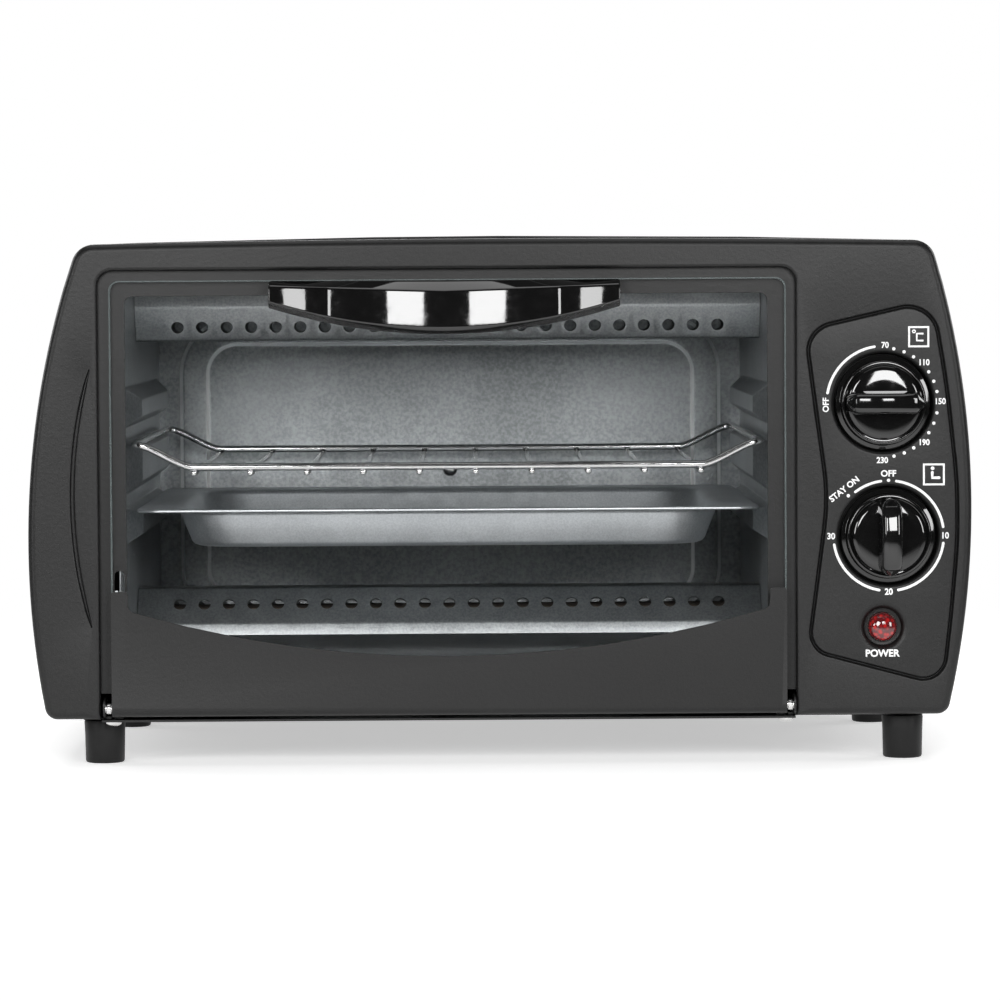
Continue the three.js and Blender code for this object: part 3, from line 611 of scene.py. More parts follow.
def row_tree():
    """Repeats a shape along a line."""
    tree = bpy.data.node_groups.new("row of copies", "GeometryNodeTree")
    tree.interface.new_socket("Shape", in_out="INPUT", socket_type="NodeSocketGeometry")
    for name, kind in (("Count", "Int"), ("First", "Vector"), ("Step", "Vector"),
                       ("Weld", "Float"), ("Finish", "Material")):
        tree.interface.new_socket(name, in_out="INPUT", socket_type="NodeSocket" + kind)
    tree.interface.new_socket("Row", in_out="OUTPUT", socket_type="NodeSocketGeometry")
    enter = tree.nodes.new("NodeGroupInput")
    leave = tree.nodes.new("NodeGroupOutput")
    line = tree.nodes.new("GeometryNodeMeshLine")
    line.mode = "OFFSET"
    copies = tree.nodes.new("GeometryNodeInstanceOnPoints")
    real = tree.nodes.new("GeometryNodeRealizeInstances")
    weld = tree.nodes.new("GeometryNodeMergeByDistance")
    finish = tree.nodes.new("GeometryNodeSetMaterial")
    for source, socket, target, into in (
            (enter, "Count", line, "Count"), (enter, "First", line, "Start Location"),
            (enter, "Step", line, "Offset"),
            (line, "Mesh", copies, "Points"), (enter, "Shape", copies, "Instance"),
            (copies, "Instances", real, "Geometry"), (real, "Geometry", weld, "Geometry"),
            (enter, "Weld", weld, "Distance"), (weld, "Geometry", finish, "Geometry"),
            (enter, "Finish", finish, "Material"), (finish, "Geometry", leave, "Row")):
        tree.links.new(source.outputs[socket], target.inputs[into])
    return tree


rows = row_tree()


def repeated(name, points, faces, finish, count, first, step, weld=1e-6, sharp=35, closed=True):
    """A row of one shape, made plain. Sizes are in millimetres; first and step run across, back and up."""
    mesh = bpy.data.meshes.new(name)
    mesh.from_pydata([Vector(point) / 1000 for point in points], [], faces)
    holder = bpy.data.objects.new(name, mesh)
    scene.collection.objects.link(holder)
    modifier = holder.modifiers.new("row", "NODES")
    modifier.node_group = rows
    sizes = {"Count": count, "First": place(*first), "Step": Vector(step) / 1000,
             "Weld": weld, "Finish": finish}
    for item in rows.interface.items_tree:
        if item.in_out == "INPUT" and item.name in sizes:
            modifier[item.identifier] = sizes[item.name]
    result = applied(holder)
    bpy.data.objects.remove(holder)
    bpy.data.meshes.remove(mesh)
    if closed:
        face_out(result)
    result.name = name
    result.materials.clear()
    return dress(name, result, [finish], sharp)


def loft(rings, ends=(True, True)):
    """Faces over rings of points, each of the same number; the ends are closed unless said."""
    points, faces = [], []
    count = len(rings[0])
    for ring in rings:
        points += [tuple(point) for point in ring]
    for i in range(len(rings) - 1):
        bridge(faces, i * count, (i + 1) * count, count)
    if ends[0]:
        faces.append(tuple(range(count))[::-1])
    if ends[1]:
        faces.append(tuple(range(len(points) - count, len(points))))
    return points, faces


def upright(profile, count=40):
    """A turned shape on an upright axis: (radius, height) pairs."""
    return loft([[(p.x, p.y, height) for p in circle(0, 0, radius, count)] for radius, height in profile])


def lengthwise(profile, centre=(0, 0), count=40):
    """A turned shape on a front-to-back axis: (radius, depth) pairs."""
    return loft([[(p.x, depth, p.y) for p in circle(*centre, radius, count)] for radius, depth in profile])


moulded = Finish("foot_plastic")
fine = moulded.noise(1200.0, 2.0)
foot_plastic = moulded.shade(
    Base_Color=moulded.blend(moulded.noise(120.0, 3.0), grey(0.006), grey(0.013)),
    Specular_IOR_Level=0.2, Roughness=0.34 + fine * 0.2, Normal=moulded.bump(fine, 0.00003))
foot_profile = ((0.6, -0.5), (3.0, -0.5), (3.2, -1.8), (3.6, -2.1), (6.9, -2.1), (7.4, -1.85), (7.7, -1.2),
                (7.9, 9.5), (8.1, 13.8), (7.9, 14.6))
foot_points, foot_faces = upright(foot_profile)
foot_front, foot_pitch = 19, 149
for end, x in (("left", -156.0), ("right", 158.2)):
    feet = repeated(f"feet_{end}", foot_points, foot_faces, foot_plastic, 2,
                    (x, foot_front, 0), (0, foot_pitch, 0))
    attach(feet, "body")
    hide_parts(f"foot_front_{end}", f"foot_rear_{end}")


# ---------- Oven cavity ----------
# Walls, back, roof and floor of coated steel sheet round the cooking space. Three rails are pressed
# into each wall, a ring is pressed into the back, and a black flange frames the front.


def zinc(name, dark, light, rough, grain_scale=900.0, relief=0.00002, shine=0.95, painted_highlight=None):
    """Dip-coated steel: a fine mottle and faint crystals.
    The last argument names a point attribute that is 1 along the sloping bevels of a pressed ring; there a
    highlight is painted on, with near-white colour, less metal and lower roughness."""
    coat = Finish(name)
    mottle = coat.noise(grain_scale, 3.0)
    cloud = coat.noise(22.0, 3.0)
    crystals = coat.node("TexVoronoi", {"feature": "F1"}, {"Vector": coat.place(), "Scale": 260.0}, "Color")
    facet = coat.node("SeparateColor", {}, {"Color": crystals})
    tone = mottle.between(0.3, 0.7) * 0.55 + cloud.between(0.3, 0.7) * 0.3 + facet * 0.15
    colour = coat.blend(tone, dark, light)
    roughness = rough + mottle * 0.12 + facet * 0.06
    # Painted highlight: where the attribute is 1, the colour turns near-white and the metal drops, so the
    # bevel shows a bright line whatever the light.
    if painted_highlight:
        highlight_share = coat.node("Attribute", {"attribute_name": painted_highlight}, output="Fac")
        colour = coat.blend(highlight_share, colour, (0.95, 0.97, 0.97, 1))
        roughness = roughness - highlight_share * 0.10
        shine = shine - highlight_share * 0.55
    return coat.shade(
        Base_Color=colour, Metallic=shine, Roughness=roughness, Normal=coat.bump(mottle, relief))


galvanised = zinc("galvanised_sheet", (0.36, 0.38, 0.39, 1), (0.58, 0.605, 0.615, 1), 0.32)
aluminised = zinc("aluminised_sheet", (0.25, 0.263, 0.268, 1), (0.42, 0.438, 0.444, 1), 0.27, 1100.0)

for node, soft, segments in (("cavity_left_wall", 0.0009, 3), ("cavity_right_wall", 0.0009, 3),
                             ("cavity_roof", 0.0003, 1), ("cavity_floor", 0.0003, 1)):
    wall = remade(node, node + "_sheet", galvanised, soft, segments, 20)
    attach(wall, "body")
    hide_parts(node)
flange = remade("cavity_front_flange", "cavity_flange_frame", powder_coat, 0.0003, 2)
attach(flange, "body")
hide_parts("cavity_front_flange")

back_depth = 235.0
cavity_x = -20.4
back_screw_z = 104


def box_outline(left, right, low, high, radius, steps=14):
    return rounded(
        [(left, low, radius), (right, low, radius), (right, high, radius), (left, high, radius)], steps)


wall_edge = [Vector(p) for p in ((-148.9, 33), (108.1, 33), (108.1, 187), (-148.9, 187))]
ring_outer = box_outline(-139.1, 98.8, 34.4, 171.8, 25.6)
ring_inner = box_outline(-125.5, 85.2, 48.0, 158.2, 12.0)
back_loops = [(wall_edge, back_depth)]
for line, way in ((ring_outer, 1), (ring_inner, -1)):
    for drawn, rise in (
            (-0.6, 0), (0.0, 0.02), (0.5, 0.14), (1.0, 0.40), (1.5, 0.70), (2.0, 0.86), (2.6, 0.9)):
        back_loops.append((inset(line, drawn * way), back_depth - rise))
screw_hole = circle(cavity_x, back_screw_z, 1.9, 24)
back_loops.append((screw_hole, back_depth))
back_points, back_faces = sheet(back_loops, [screw_hole])
# The back sheet's colour includes a painted highlight along the bevels of its pressed ring.
pressed_sheet = zinc("pressed_sheet", (0.19, 0.203, 0.208, 1), (0.40, 0.42, 0.428, 1), 0.33, 750.0, 0.00004,
                     painted_highlight="pressed")
back = build("cavity_back_sheet", back_points, back_faces, pressed_sheet, outward=False)
# The attribute is 1 on the ring's sloping bevels, where the highlight is painted.
pressed = back.data.attributes.new("pressed", "FLOAT", "POINT")
for vertex, (x, depth, z) in zip(back.data.vertices, back_points):
    pressed.data[vertex.index].value = 1.0 if 0.1 < back_depth - depth < 0.8 else 0.0
thicken(back, inner_sheet)
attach(back, "body")
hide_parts("cavity_back_wall")

steel = Finish("bright_steel")
turning = steel.noise(900.0, 2.0)
bright_steel = steel.shade(
    Base_Color=steel.blend(turning, grey(0.62, 0.01), grey(0.80, 0.01)), Metallic=1.0,
    Roughness=0.16 + turning * 0.16, Normal=steel.bump(turning, 0.00001))


def pan_head(radius, high):
    """A domed screw head, its axis front to back and its crown at the front."""
    rings = []
    for k in range(7):
        turn = math.radians(90 * k / 6)
        rings.append([(p.x, high * (1 - math.cos(turn)) if k < 6 else high, p.y)
                      for p in circle(0, 0, max(0.25, radius * math.sin(turn)), 32)])
    rings.append([(p.x, high + 0.3, p.y) for p in circle(0, 0, radius, 32)])
    return loft(rings)


head_points, head_faces = pan_head(3.2, 1.7)
head_reach = 2.0
screw = build(
    "cavity_back_screw_head",
    [(x + cavity_x, back_depth - head_reach + y, z + back_screw_z) for x, y, z in head_points],
    head_faces, bright_steel)
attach(screw, "body")
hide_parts("cavity_back_screw")


# ---------- Guards over the heating elements ----------
# Two strips of coated steel folded to a channel, one hung from the roof and one standing near the
# floor, with a row of round holes punched in each sloping side. Plain ends reach to the walls.

cell, cells = 10.0, 23
hole_radius = 2.55
guard_ends = ((-147.6, -135.4), (94.6, 106.8))


def guard(name, node, line, rows_of_holes):
    """line runs over the profile (back, up); rows_of_holes gives the height of the holes on a leg."""
    profile = [Vector(p) for p in line]
    cell_points, cell_faces = [], []
    for leg in range(len(profile) - 1):
        a, b = profile[leg], profile[leg + 1]
        long = (b - a).length
        hole_at = None
        if leg in rows_of_holes:
            hole_at = (rows_of_holes[leg] - a.y) / (b.y - a.y) * long
        square = [Vector((cell * across, up))
                  for across, up in ((-0.5, 0), (0.5, 0), (0.5, long), (-0.5, long))]
        outlines = [(square, 0.0)]
        opening = []
        if hole_at is not None:
            opening = circle(0, hole_at, hole_radius, 24)
            outlines.append((opening, 0.0))
        leg_points, leg_faces = sheet(outlines, [opening] if opening else [])
        start = len(cell_points)
        along = (b - a).normalized()
        cell_points += [(x, a.x + along.x * t, a.y + along.y * t) for x, _, t in leg_points]
        cell_faces += [tuple(i + start for i in f) for f in leg_faces]
    first_x = cavity_x - (cells - 1) / 2 * cell
    strip = repeated(name, cell_points, cell_faces, aluminised, cells, (first_x, 0, 0), (cell, 0, 0),
                     weld=2e-5, closed=False)
    shell = bmesh.new()
    shell.from_mesh(strip.data)
    for x_from, x_to in guard_ends:
        for a, b in zip(profile, profile[1:]):
            corners = ((x_from, a), (x_to, a), (x_to, b), (x_from, b))
            shell.faces.new([shell.verts.new(place(x, p.x, p.y)) for x, p in corners])
    bmesh.ops.remove_doubles(shell, verts=shell.verts, dist=3e-5)
    bmesh.ops.recalc_face_normals(shell, faces=shell.faces)
    shell.to_mesh(strip.data)
    shell.free()
    strip.data.set_sharp_from_angle(angle=math.radians(50))
    thicken(strip, inner_sheet, 40)
    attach(strip, "body")
    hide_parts(node)


guard("upper_guard_strip", "upper_element_guard",
      ((85, 185.7), (85, 176.8), (85.15, 176.0), (85.5, 175.1), (90.4, 163.2), (90.9, 162.6), (91.6, 162.3),
       (108.4, 162.3), (109.1, 162.6), (109.6, 163.2), (114.5, 175.1), (115, 176.8), (115, 185.7)),
      {3: 168, 9: 168})
guard("lower_guard_strip", "lower_element_guard",
      ((80.6, 43), (81.6, 46.9), (81.9, 47.5), (82.3, 48.1), (92.3, 60.8), (92.8, 61.3), (93.5, 61.5),
       (106.5, 61.5), (107.2, 61.3), (107.7, 60.8), (117.7, 48.1), (118.4, 46.9), (119.4, 43)),
      {3: 55, 9: 55})


# ---------- Door glass and lower rail ----------
# A pane of clear float glass with ground and polished edges. Its foot stands in a pressed black rail
# that covers the bottom of the doorway, dips in the middle and turns on a pin at each end.

door_x = -20.05
pane = Finish("clear_glass")
glance = pane.node("Fresnel", {}, {"IOR": 1.5})
clear_glass = pane.shade(
    Base_Color=grey(0.95), Metallic=1.0,
    Roughness=0.02 + pane.noise(40.0, 3.0) * 0.02, Alpha=glance * 0.35)
rim_glass = Finish("polished_glass_edge")
streak = rim_glass.noise(500.0, 2.0, (1, 4, 1))
glass_edge = rim_glass.shade(
    Base_Color=rim_glass.blend(streak, (0.10, 0.13, 0.13, 1), (0.24, 0.28, 0.28, 1)),
    Roughness=0.12 + streak * 0.15, Alpha=0.35 + streak * 0.3)

glass_outline = rounded([(-151.6, 24, 0), (111.5, 24, 0), (111.5, 187, 4), (-151.6, 187, 4)], 8)
screw_x = (-77.3, 35.1)
screw_z = 178.0
bores = [circle(x, screw_z, 2.4, 24) for x in screw_x]
glass_points, glass_faces = [], []
arris = 0.5
pane_front, pane_back = -0.7, 3.3
for depth in (pane_front, pane_back):
    inner = inset(glass_outline, arris)
    face_points, face_faces = sheet([(inner, depth)] + [(bore, depth) for bore in bores], bores)
    start = len(glass_points)
    glass_points += face_points
    glass_faces += [tuple(i + start for i in f) for f in face_faces]
plain_faces = len(glass_faces)
per_face = len(glass_outline) + sum(len(bore) for bore in bores)
edge_start = len(glass_points)
for depth in (pane_front + arris, pane_back - arris):
    glass_points += [(p.x, depth, p.y) for p in glass_outline]
count = len(glass_outline)
bridge(glass_faces, 0, edge_start, count)
bridge(glass_faces, edge_start, edge_start + count, count)
bridge(glass_faces, edge_start + count, per_face, count)
for hole_start in (count, count + len(bores[0])):
    bridge(glass_faces, hole_start, hole_start + per_face, len(bores[0]))
glass = build("door_glass_pane", glass_points, glass_faces, clear_glass, glass_edge, sharp=25)
for face in glass.data.polygons[plain_faces:]:
    face.material_index = 1
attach(glass, "door")
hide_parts("door_glass")

rail = remade("door_lower_rail", "door_rail_pressing", powder_coat, 0.00045, 3, 24)
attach(rail, "door")
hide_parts("door_lower_rail")


# ---------- Door handle ----------
# A bow moulded in one piece of gloss black plastic: two end pads lie on the glass and the grip bows
# out between them. Two screws hold it from behind the glass.

gloss = Finish("gloss_black_plastic")
haze = gloss.noise(260.0, 4.0)
scuff = gloss.noise(1400.0, 2.0, (0.25, 1, 1))
gloss_black = gloss.shade(
    Base_Color=gloss.blend(haze, grey(0.003), grey(0.006)), Specular_IOR_Level=0.75,
    Roughness=0.045 + haze.between(0.45, 0.75) * 0.05 + scuff.between(0.6, 0.8) * 0.03,
    Normal=gloss.bump(haze, 0.000006))

handle_left, handle_right = -89.1, 46.9
middle_x = (handle_left + handle_right) / 2
half_handle = 68.0
bow_front = -31.0


grip_end, pad_start = 43.9, 45.4
grip_turn, pad_turn, tip_turn = 22, 34, 17


def face_slope(x):
    """Turn of the grip's face from square-on, in degrees, at a distance from the middle."""
    if x > pad_start:
        return pad_turn - (pad_turn - tip_turn) * (x - pad_start) / (half_handle - pad_start)
    if x > grip_end:
        return grip_turn + (pad_turn - grip_turn) * (x - grip_end) / (pad_start - grip_end)
    return grip_turn * x / grip_end


def bow_depth(x):
    """Depth of the grip's face at a distance from the middle, summed up from its slope."""
    depth, at_x = bow_front, 0.0
    step = 0.25
    while at_x < x:
        depth += math.tan(math.radians(face_slope(at_x + step / 2))) * min(step, x - at_x)
        at_x += step
    return depth


def handle_section(x, tuck=0.0):
    """The handle cut across at x: (back, up) points, from the lower front edge round by the top."""
    far = abs(x - middle_x)
    front_depth = bow_depth(far)
    low = 165.8 + 10.4 * (far / half_handle) ** 2
    grip_reach = 44.4
    if far > grip_reach:
        behind = -1.0
    else:
        behind = -7.0 - 13.0 * (1 - (far / grip_reach) ** 2.4)
    high = 182.4 + 2.4 * (far / half_handle)
    top_front = 186.2 + 0.5 * (far / half_handle)
    outline = rounded([
        (front_depth + 3.2, low, 0.9), (behind, low + 0.6, 1.0), (behind, 186.7, 0.8),
        (min(behind - 4, front_depth + 11), top_front, 3.0), (front_depth + 1.0, high, 1.3),
        (front_depth, low + 2.6, 1.1)], 5)
    if tuck:
        centre = sum(outline, Vector((0, 0))) / len(outline)
        outline = [centre + (p - centre) * (1 - tuck) for p in outline]
    return [(x, p.x, p.y) for p in outline]


stations = [half_handle - k for k in range(23)]
stations += [45.4, 45.0, 44.6, 44.42, 44.38, 44.0, 43.6, 42.8]
stations += [42 - 1.5 * k for k in range(1, 28)]
offsets = sorted(set(round(s, 3) for s in stations if s > 0))
line_x = [-s for s in reversed(offsets)] + [0.0] + offsets
rings = [handle_section(middle_x + s) for s in line_x]
left_cap = [[(handle_left + shift, y, z) for _, y, z in handle_section(handle_left + 0.9, tuck)]
            for shift, tuck in ((0.0, 0.10), (0.12, 0.055), (0.45, 0.018))]
right_cap = [[(handle_right - shift, y, z) for _, y, z in handle_section(handle_right - 0.9, tuck)]
             for shift, tuck in ((0.45, 0.018), (0.12, 0.055), (0.0, 0.10))]
handle_points, handle_faces = loft(left_cap + rings[1:-1] + right_cap)
handle = build("door_handle_bow", handle_points, handle_faces, gloss_black, sharp=50)
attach(handle, "door")
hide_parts("door_handle")


# ---------- Screws and pins of the door ----------
# Bright steel: two pan-head screws behind the glass, one domed screw under each hinge bracket
# and a stepped pin at each end of the rail. The black brackets are folded sheet, and the arm is a
# coated strip fixed to the door.

handle_screw_depth = 5.1
for end, x in (("left", screw_x[0]), ("right", screw_x[1])):
    points = [(px + x, handle_screw_depth - py, pz + screw_z) for px, py, pz in pan_head(2.9, 1.4)[0]]
    handle_screw = build(f"handle_screw_{end}_head", points, head_faces, bright_steel)
    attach(handle_screw, "door")
    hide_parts(f"handle_screw_{end}")

bracket_screw_depth, bracket_screw_z = 6.4, 13.0
for end, x in (("left", door_x - 131.5), ("right", door_x + 131.5)):
    points = [(px + x, pz + bracket_screw_depth, bracket_screw_z + py) for px, py, pz in head_points]
    under_screw = build(f"bracket_screw_{end}_head", points, head_faces, bright_steel)
    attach(under_screw, "body")
    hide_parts(f"bracket_screw_{end}")

pin_depth, pin_z = 1, 20.4
pin_profile = ((0.5, -5), (1.6, -4.8), (1.6, 0.3), (2.05, 0.35), (2.15, 0.6), (2.15, 2.1), (2.0, 2.4),
               (1.6, 2.45), (1.6, 3.3), (1.3, 3.6), (0.5, 3.6))
for end, side in (("left", -1), ("right", 1)):
    reach = door_x + side * 131.55
    pin_points, pin_faces = loft([
        [(reach + side * far, pin_depth + p.x, pin_z + p.y) for p in circle(0, 0, radius, 24)]
        for radius, far in pin_profile])
    pin = build(f"hinge_pin_{end}_turned", pin_points, pin_faces, bright_steel)
    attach(pin, "door")
    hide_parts(f"hinge_pin_{end}")
    bracket = remade(f"hinge_bracket_{end}", f"hinge_bracket_{end}_sheet", powder_coat, 0.0002, 2)
    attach(bracket, "body")
    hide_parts(f"hinge_bracket_{end}")

arm = remade("door_arm", "door_arm_sheet", galvanised, 0.0002, 2)
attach(arm, "door")
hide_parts("door_arm")


# ---------- Knobs ----------
# Two moulded gloss black knobs: a nearly flat face inside a raised rim, a skirt behind it and a
# thick bar to hold. Each pushes on to the flat of its shaft.


bar_reach, bar_half, bar_front = 15.0, 4.6, -19.0


def bar_ring(x, length=bar_reach, wide=bar_half):
    """The bar cut across at x, from its foot in the face round over its crown."""
    share = min(1.0, abs(x) / length)
    over = max(0.0, abs(x) - (length - wide))
    half = math.sqrt(max(0.06, wide ** 2 - over ** 2))
    top = bar_front + x ** 2 / 64 + 3.0 * max(0.0, share - 0.8) / 0.2
    foot = -4.0
    crown = min(2.4, half * 0.8)
    ring = rounded([
        (foot, -half, 0), (top, -half * 0.82, crown), (top, half * 0.82, crown), (foot, half, 0)], 6)
    return [(x, p.x, p.y) for p in ring]


knob_profile = (
    (0.4, -5.0), (6, -4.99), (9, -4.94), (11, -4.80), (12.6, -4.56), (14.0, -4.22), (14.3, -3.7),
    (14.4, -2.9), (14.6, -2.7), (14.9, -2.75), (15.05, -3.2), (15.3, -3.6), (15.8, -3.65), (16.3, -3.3),
    (16.5, -2.7), (16.5, 1.1), (16.9, 1.5), (18.2, 1.6), (18.5, 1.9), (18.5, 2.8), (18.3, 3.0), (0.4, 3.0))
flange_points, flange_faces = lengthwise(knob_profile, count=96)
bar_points, bar_faces = loft([bar_ring(-bar_reach + 2 * bar_reach * k / 60) for k in range(61)])
for name, centre, turn in (("thermostat", thermostat, 0.0), ("timer", timer, 90.0)):
    spin = Matrix.Rotation(math.radians(turn), 2)
    points, faces = [], []
    for part_points, part_faces in ((flange_points, flange_faces), (bar_points, bar_faces)):
        start = len(points)
        for x, depth, z in part_points:
            spot = spin @ Vector((x, z))
            points.append((centre[0] + spot.x, depth, centre[1] + spot.y))
        faces += [tuple(i + start for i in f) for f in part_faces]
    knob = build(f"{name}_knob_moulding", points, faces, gloss_black, sharp=50)
    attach(knob, f"{name}_dial")
    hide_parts(f"{name}_knob")


# ---------- Pilot lamp ----------
# A clear red lens with a domed front and facets moulded inside it, pushed into a nylon holder.

red = Finish("red_lens")
offset = red.node("Mapping", {"vector_type": "POINT"}, {
    "Vector": red.place(), "Location": -place(lamp[0], 0, lamp[1])})
spoke = red.node("TexWave", {"wave_type": "RINGS", "rings_direction": "Y"}, {
    "Vector": offset, "Scale": 420.0, "Distortion": 3.0, "Detail": 1.0})
depths = red.node("TexVoronoi", {"feature": "F1"}, {"Vector": offset, "Scale": 620.0}, "Distance")
red_lens = red.shade(
    Base_Color=red.blend(depths.between(0.1, 0.7), (0.42, 0.012, 0.012, 1), (0.09, 0.008, 0.010, 1)),
    Roughness=0.05 + spoke * 0.03, Coat_Weight=1.0, Coat_Roughness=0.03,
    Normal=red.bump(depths, 0.00012))
lens_points, lens_faces = lengthwise(
    ((0.3, -2.4), (1.4, -2.35), (2.6, -2.1), (3.7, -1.6), (4.6, -0.9), (5.2, 0.0), (5.5, 1.0),
     (5.5, 7.0), (0.3, 7.0)), lamp, 48)
lens = build("pilot_lens_dome", lens_points, lens_faces, red_lens, sharp=50)
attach(lens, "body")
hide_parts("pilot_lamp_lens")

holder_points, holder_faces = lengthwise(
    ((0.3, 7.3), (5.75, 7.3), (5.8, 7.2), (5.8, 4.4), (5.9, 4.3), (8.7, 4.3), (9.0, 4.6),
     (9.0, 16.7), (8.7, 17.0), (0.3, 17.0)), lamp, 48)
nylon = Finish("natural_nylon")
milk = nylon.noise(300.0, 3.0)
pale_nylon = nylon.shade(
    Base_Color=nylon.blend(milk, (0.60, 0.57, 0.50, 1), (0.72, 0.69, 0.62, 1)), Roughness=0.4 + milk * 0.15,
    Normal=nylon.bump(milk, 0.00003))
holder = build("pilot_holder_moulding", holder_points, holder_faces, pale_nylon)
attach(holder, "body")
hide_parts("pilot_lamp_holder")


# ---------- Wire rack ----------
# Chromed steel wire: one thick wire bent round the edge, its ends raised to lie on the rails,
# and ten thinner wires welded under it, their ends just past the front and rear wire.

wire = Finish("chromed_wire")
ripple = wire.noise(240.0, 2.0)
chrome = wire.shade(
    Base_Color=wire.blend(ripple, grey(0.60), grey(0.80)), Metallic=1.0,
    Roughness=0.09 + ripple * 0.10, Normal=wire.bump(ripple, 0.00003))


def tube(path, radius, sides=12, closed=False):
    """Round wire along a path."""
    count = len(path)
    rings = []
    normal = None
    for i, point in enumerate(path):
        if closed:
            along = (path[(i + 1) % count] - path[i - 1]).normalized()
        else:
            along = (path[min(i + 1, count - 1)] - path[max(i - 1, 0)]).normalized()
        if normal is None:
            normal = along.orthogonal().normalized()
        normal = (normal - along * normal.dot(along)).normalized()
        other = along.cross(normal)
        rings.append([point + normal * radius * math.cos(math.tau * k / sides)
                      + other * radius * math.sin(math.tau * k / sides) for k in range(sides)])
    if closed:
        points, faces = loft(rings, (False, False))
        twist = min(range(sides), key=lambda k: (rings[0][k] - rings[-1][0]).length)
        last = (count - 1) * sides
        for k in range(sides):
            a, b = k, (k + 1) % sides
            faces.append((last + a, last + b, (b + twist) % sides, (a + twist) % sides))
        return points, faces
    rounded_ends = []
    for ring, point in ((rings[0], path[0]), (rings[-1], path[-1])):
        rounded_ends.append([point + (p - point) * 0.6 for p in ring])
    first_push = (path[0] - path[1]).normalized() * radius * 0.35
    last_push = (path[-1] - path[-2]).normalized() * radius * 0.35
    rings = [[p + first_push for p in rounded_ends[0]]] + rings + [[p + last_push for p in rounded_ends[1]]]
    return loft(rings)


rack_half, rack_flat = 122.8, 100.5
rack_front, rack_rear = 12.0, 213.0
rail_z, grid_z = 122.9, 114.0


def smooth_path(points, passes=3):
    """Rounds the corners of a closed path by cutting them again and again."""
    for _ in range(passes):
        cut = []
        for i, point in enumerate(points):
            after = points[(i + 1) % len(points)]
            cut += [point.lerp(after, 0.25), point.lerp(after, 0.75)]
        points = cut
    return points


corners = []
for side, order in ((-1, 1), (1, -1)):
    run = []
    for depth, inward in ((rack_rear, -1), (rack_front, 1))[::order]:
        edge_x = cavity_x + side * rack_half
        flat_x = cavity_x + side * rack_flat
        bend = [
            Vector((flat_x - side * 3, depth, grid_z)), Vector((flat_x + side * 2, depth, grid_z + 0.2)),
            Vector((edge_x - side * 6, depth, rail_z - 1.2)),
            Vector((edge_x - side * 2.0, depth, rail_z - 0.1)),
            Vector((edge_x, depth + inward * 2.0, rail_z)), Vector((edge_x, depth + inward * 9, rail_z)),
        ]
        run += bend if (order == 1) == (depth == rack_rear) else bend[::-1]
    corners += run
frame_points, frame_faces = tube(smooth_path(corners), 1.5, 12, closed=True)
rack_frame = build("rack_edge_wire", frame_points, frame_faces, chrome, sharp=60)
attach(rack_frame, "rack")
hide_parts("wire_rack")

bar_path = [Vector((0, depth, 0)) for depth in (
    rack_front - 0.8, rack_front + 20, (rack_front + rack_rear) / 2, rack_rear - 20, rack_rear + 0.8)]
bar_gap = 22.05
wire_points, wire_faces = tube(bar_path, 1.25, 12)
bars = repeated("rack_cross_wires", wire_points, wire_faces, chrome, 10,
                (cavity_x - 4.5 * bar_gap, 0, grid_z - 2.2), (bar_gap, 0, 0), sharp=60)
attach(bars, "rack")


# ---------- Baking tray and crumb tray ----------
# The baking tray is drawn from one sheet of aluminised steel: round corners, sloping sides and a flat
# rim with a rolled edge that runs in the rails. The crumb tray is a shallow folded tray on the floor.

tray_sheet = zinc("tray_sheet", (0.58, 0.61, 0.63, 1), (0.78, 0.81, 0.83, 1), 0.34, 1300.0)


def tray_ring(half_x, near, far, radius, z):
    return [(p.x, p.y, z) for p in box_outline(cavity_x - half_x, cavity_x + half_x, near, far, radius, 8)]


tray_front, tray_rear = 24, 203
tray_rings = []
for half_x, shrink, radius, z in (
        (40.0, 62.0, 30.0, 81.55), (96.0, 10.5, 16.0, 81.5), (99.5, 7.4, 17.0, 81.7),
        (101.4, 5.8, 18.0, 82.4), (102.4, 5.0, 18.5, 83.5), (106.6, 1.0, 21.0, 94.2),
        (107.2, 0.5, 21.5, 95.3), (108.4, -0.6, 22.0, 95.9), (110.0, -1.6, 22.5, 96.1)):
    tray_rings.append(tray_ring(half_x, tray_front + shrink, tray_rear - shrink, radius, z))
for half_x, near, far, radius, z in (
        (121.2, 16.4, 210.6, 8.0, 96.1), (122.0, 15.6, 211.4, 8.6, 95.9), (122.6, 15.0, 212.0, 9.0, 96.4),
        (122.5, 15.1, 211.9, 9.0, 97.0), (121.8, 15.8, 211.2, 8.4, 97.35), (121.0, 16.6, 210.4, 8.0, 97.1)):
    tray_rings.append(tray_ring(half_x, near, far, radius, z))
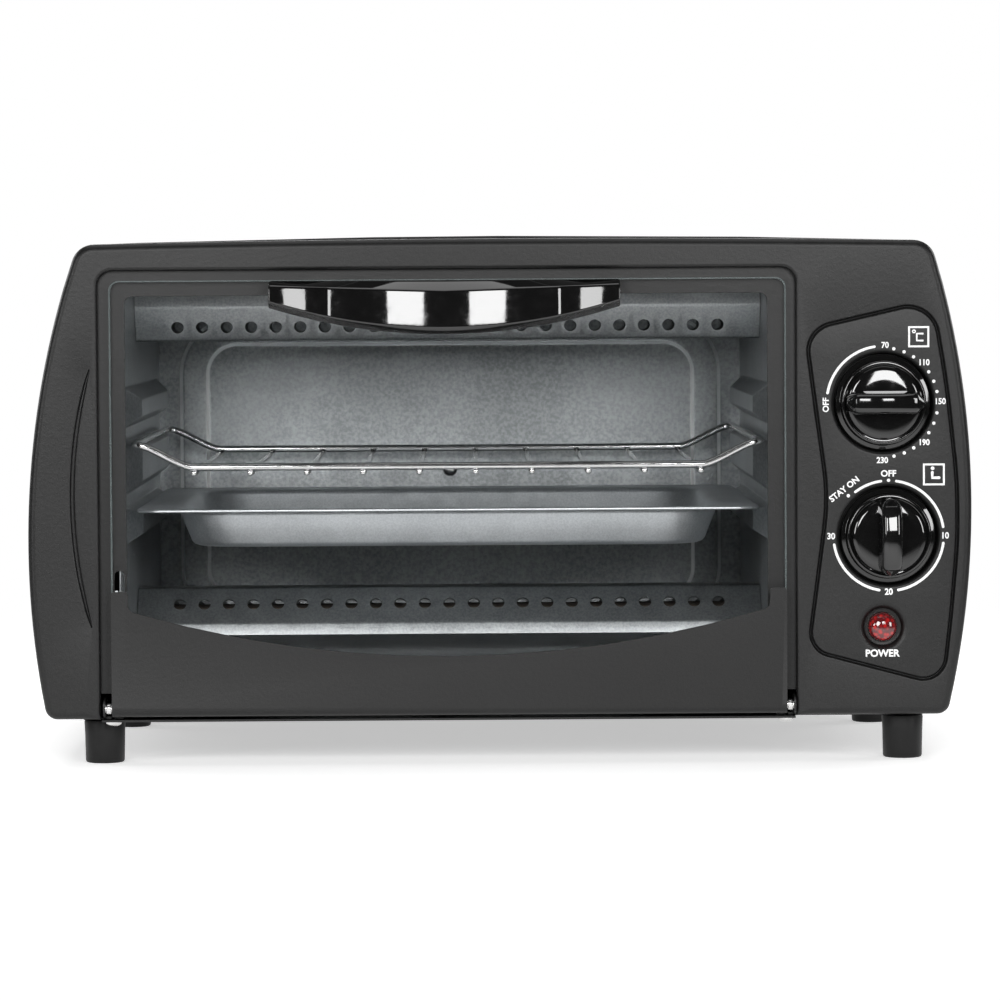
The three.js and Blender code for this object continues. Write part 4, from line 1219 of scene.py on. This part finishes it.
for half_x, shrink, radius, z in (
        (110.2, -1.8, 22.5, 97.0), (108.0, -0.2, 21.8, 96.8), (106.4, 1.2, 21.0, 95.9),
        (105.7, 1.8, 20.5, 94.6), (101.6, 5.8, 18.0, 84.2), (100.6, 6.6, 17.5, 83.0),
        (98.6, 8.2, 16.5, 82.5), (94.0, 12.4, 15.0, 82.4), (40.0, 62.0, 28.0, 82.45)):
    tray_rings.append(tray_ring(half_x, tray_front + shrink, tray_rear - shrink, radius, z))
tray_points, tray_faces = loft(tray_rings)
tray = build("baking_tray_drawn", tray_points, tray_faces, tray_sheet, sharp=60)
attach(tray, "tray")
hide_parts("baking_tray")

crumb = remade("crumb_tray", "crumb_tray_folded", galvanised, 0.0004, 2)
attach(crumb, "crumb")
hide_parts("crumb_tray")


# ---------- Pieces inside ----------
# The heater, its ceramics, the control bodies and the wiring keep their plain shapes and get their own
# finishes: scaled heater sheath, chalky steatite, brass, nylon and glass-fibre sleeve.


def plain(name, dark, light, rough, metal=0.0, scale=400.0, depth=0.00003):
    made = Finish(name)
    grain = made.noise(scale, 3.0)
    return made.shade(
        Base_Color=made.blend(grain, dark, light), Metallic=metal, Roughness=rough + grain * 0.15,
        Normal=made.bump(grain, depth))


finishes = {
    "black_paint": powder_coat, "galvanised_steel": galvanised, "aluminised_steel": aluminised,
    "bright_steel": bright_steel, "chrome_wire": chrome, "gloss_black": gloss_black,
    "foot_rubber": foot_plastic,
    "heater_sheath": plain("heater_sheath", (0.06, 0.05, 0.045, 1), (0.14, 0.12, 0.10, 1), 0.45, 0.6),
    "ceramic": plain("steatite", (0.66, 0.62, 0.55, 1), (0.82, 0.78, 0.70, 1), 0.55),
    "brass": plain("brass", (0.45, 0.33, 0.13, 1), (0.62, 0.47, 0.20, 1), 0.25, 1.0),
    "lead_sleeve": plain(
        "lead_sleeve", (0.50, 0.47, 0.40, 1), (0.70, 0.67, 0.58, 1), 0.7, 0.0, 2200.0, 0.0002),
    "pale_nylon": pale_nylon, "red_lens": red_lens, "door_glass": clear_glass,
}
for name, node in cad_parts.items():
    if not node.hide_render:
        for slot in node.material_slots:
            slot.material = finishes[slot.material.name.split(".")[0]]
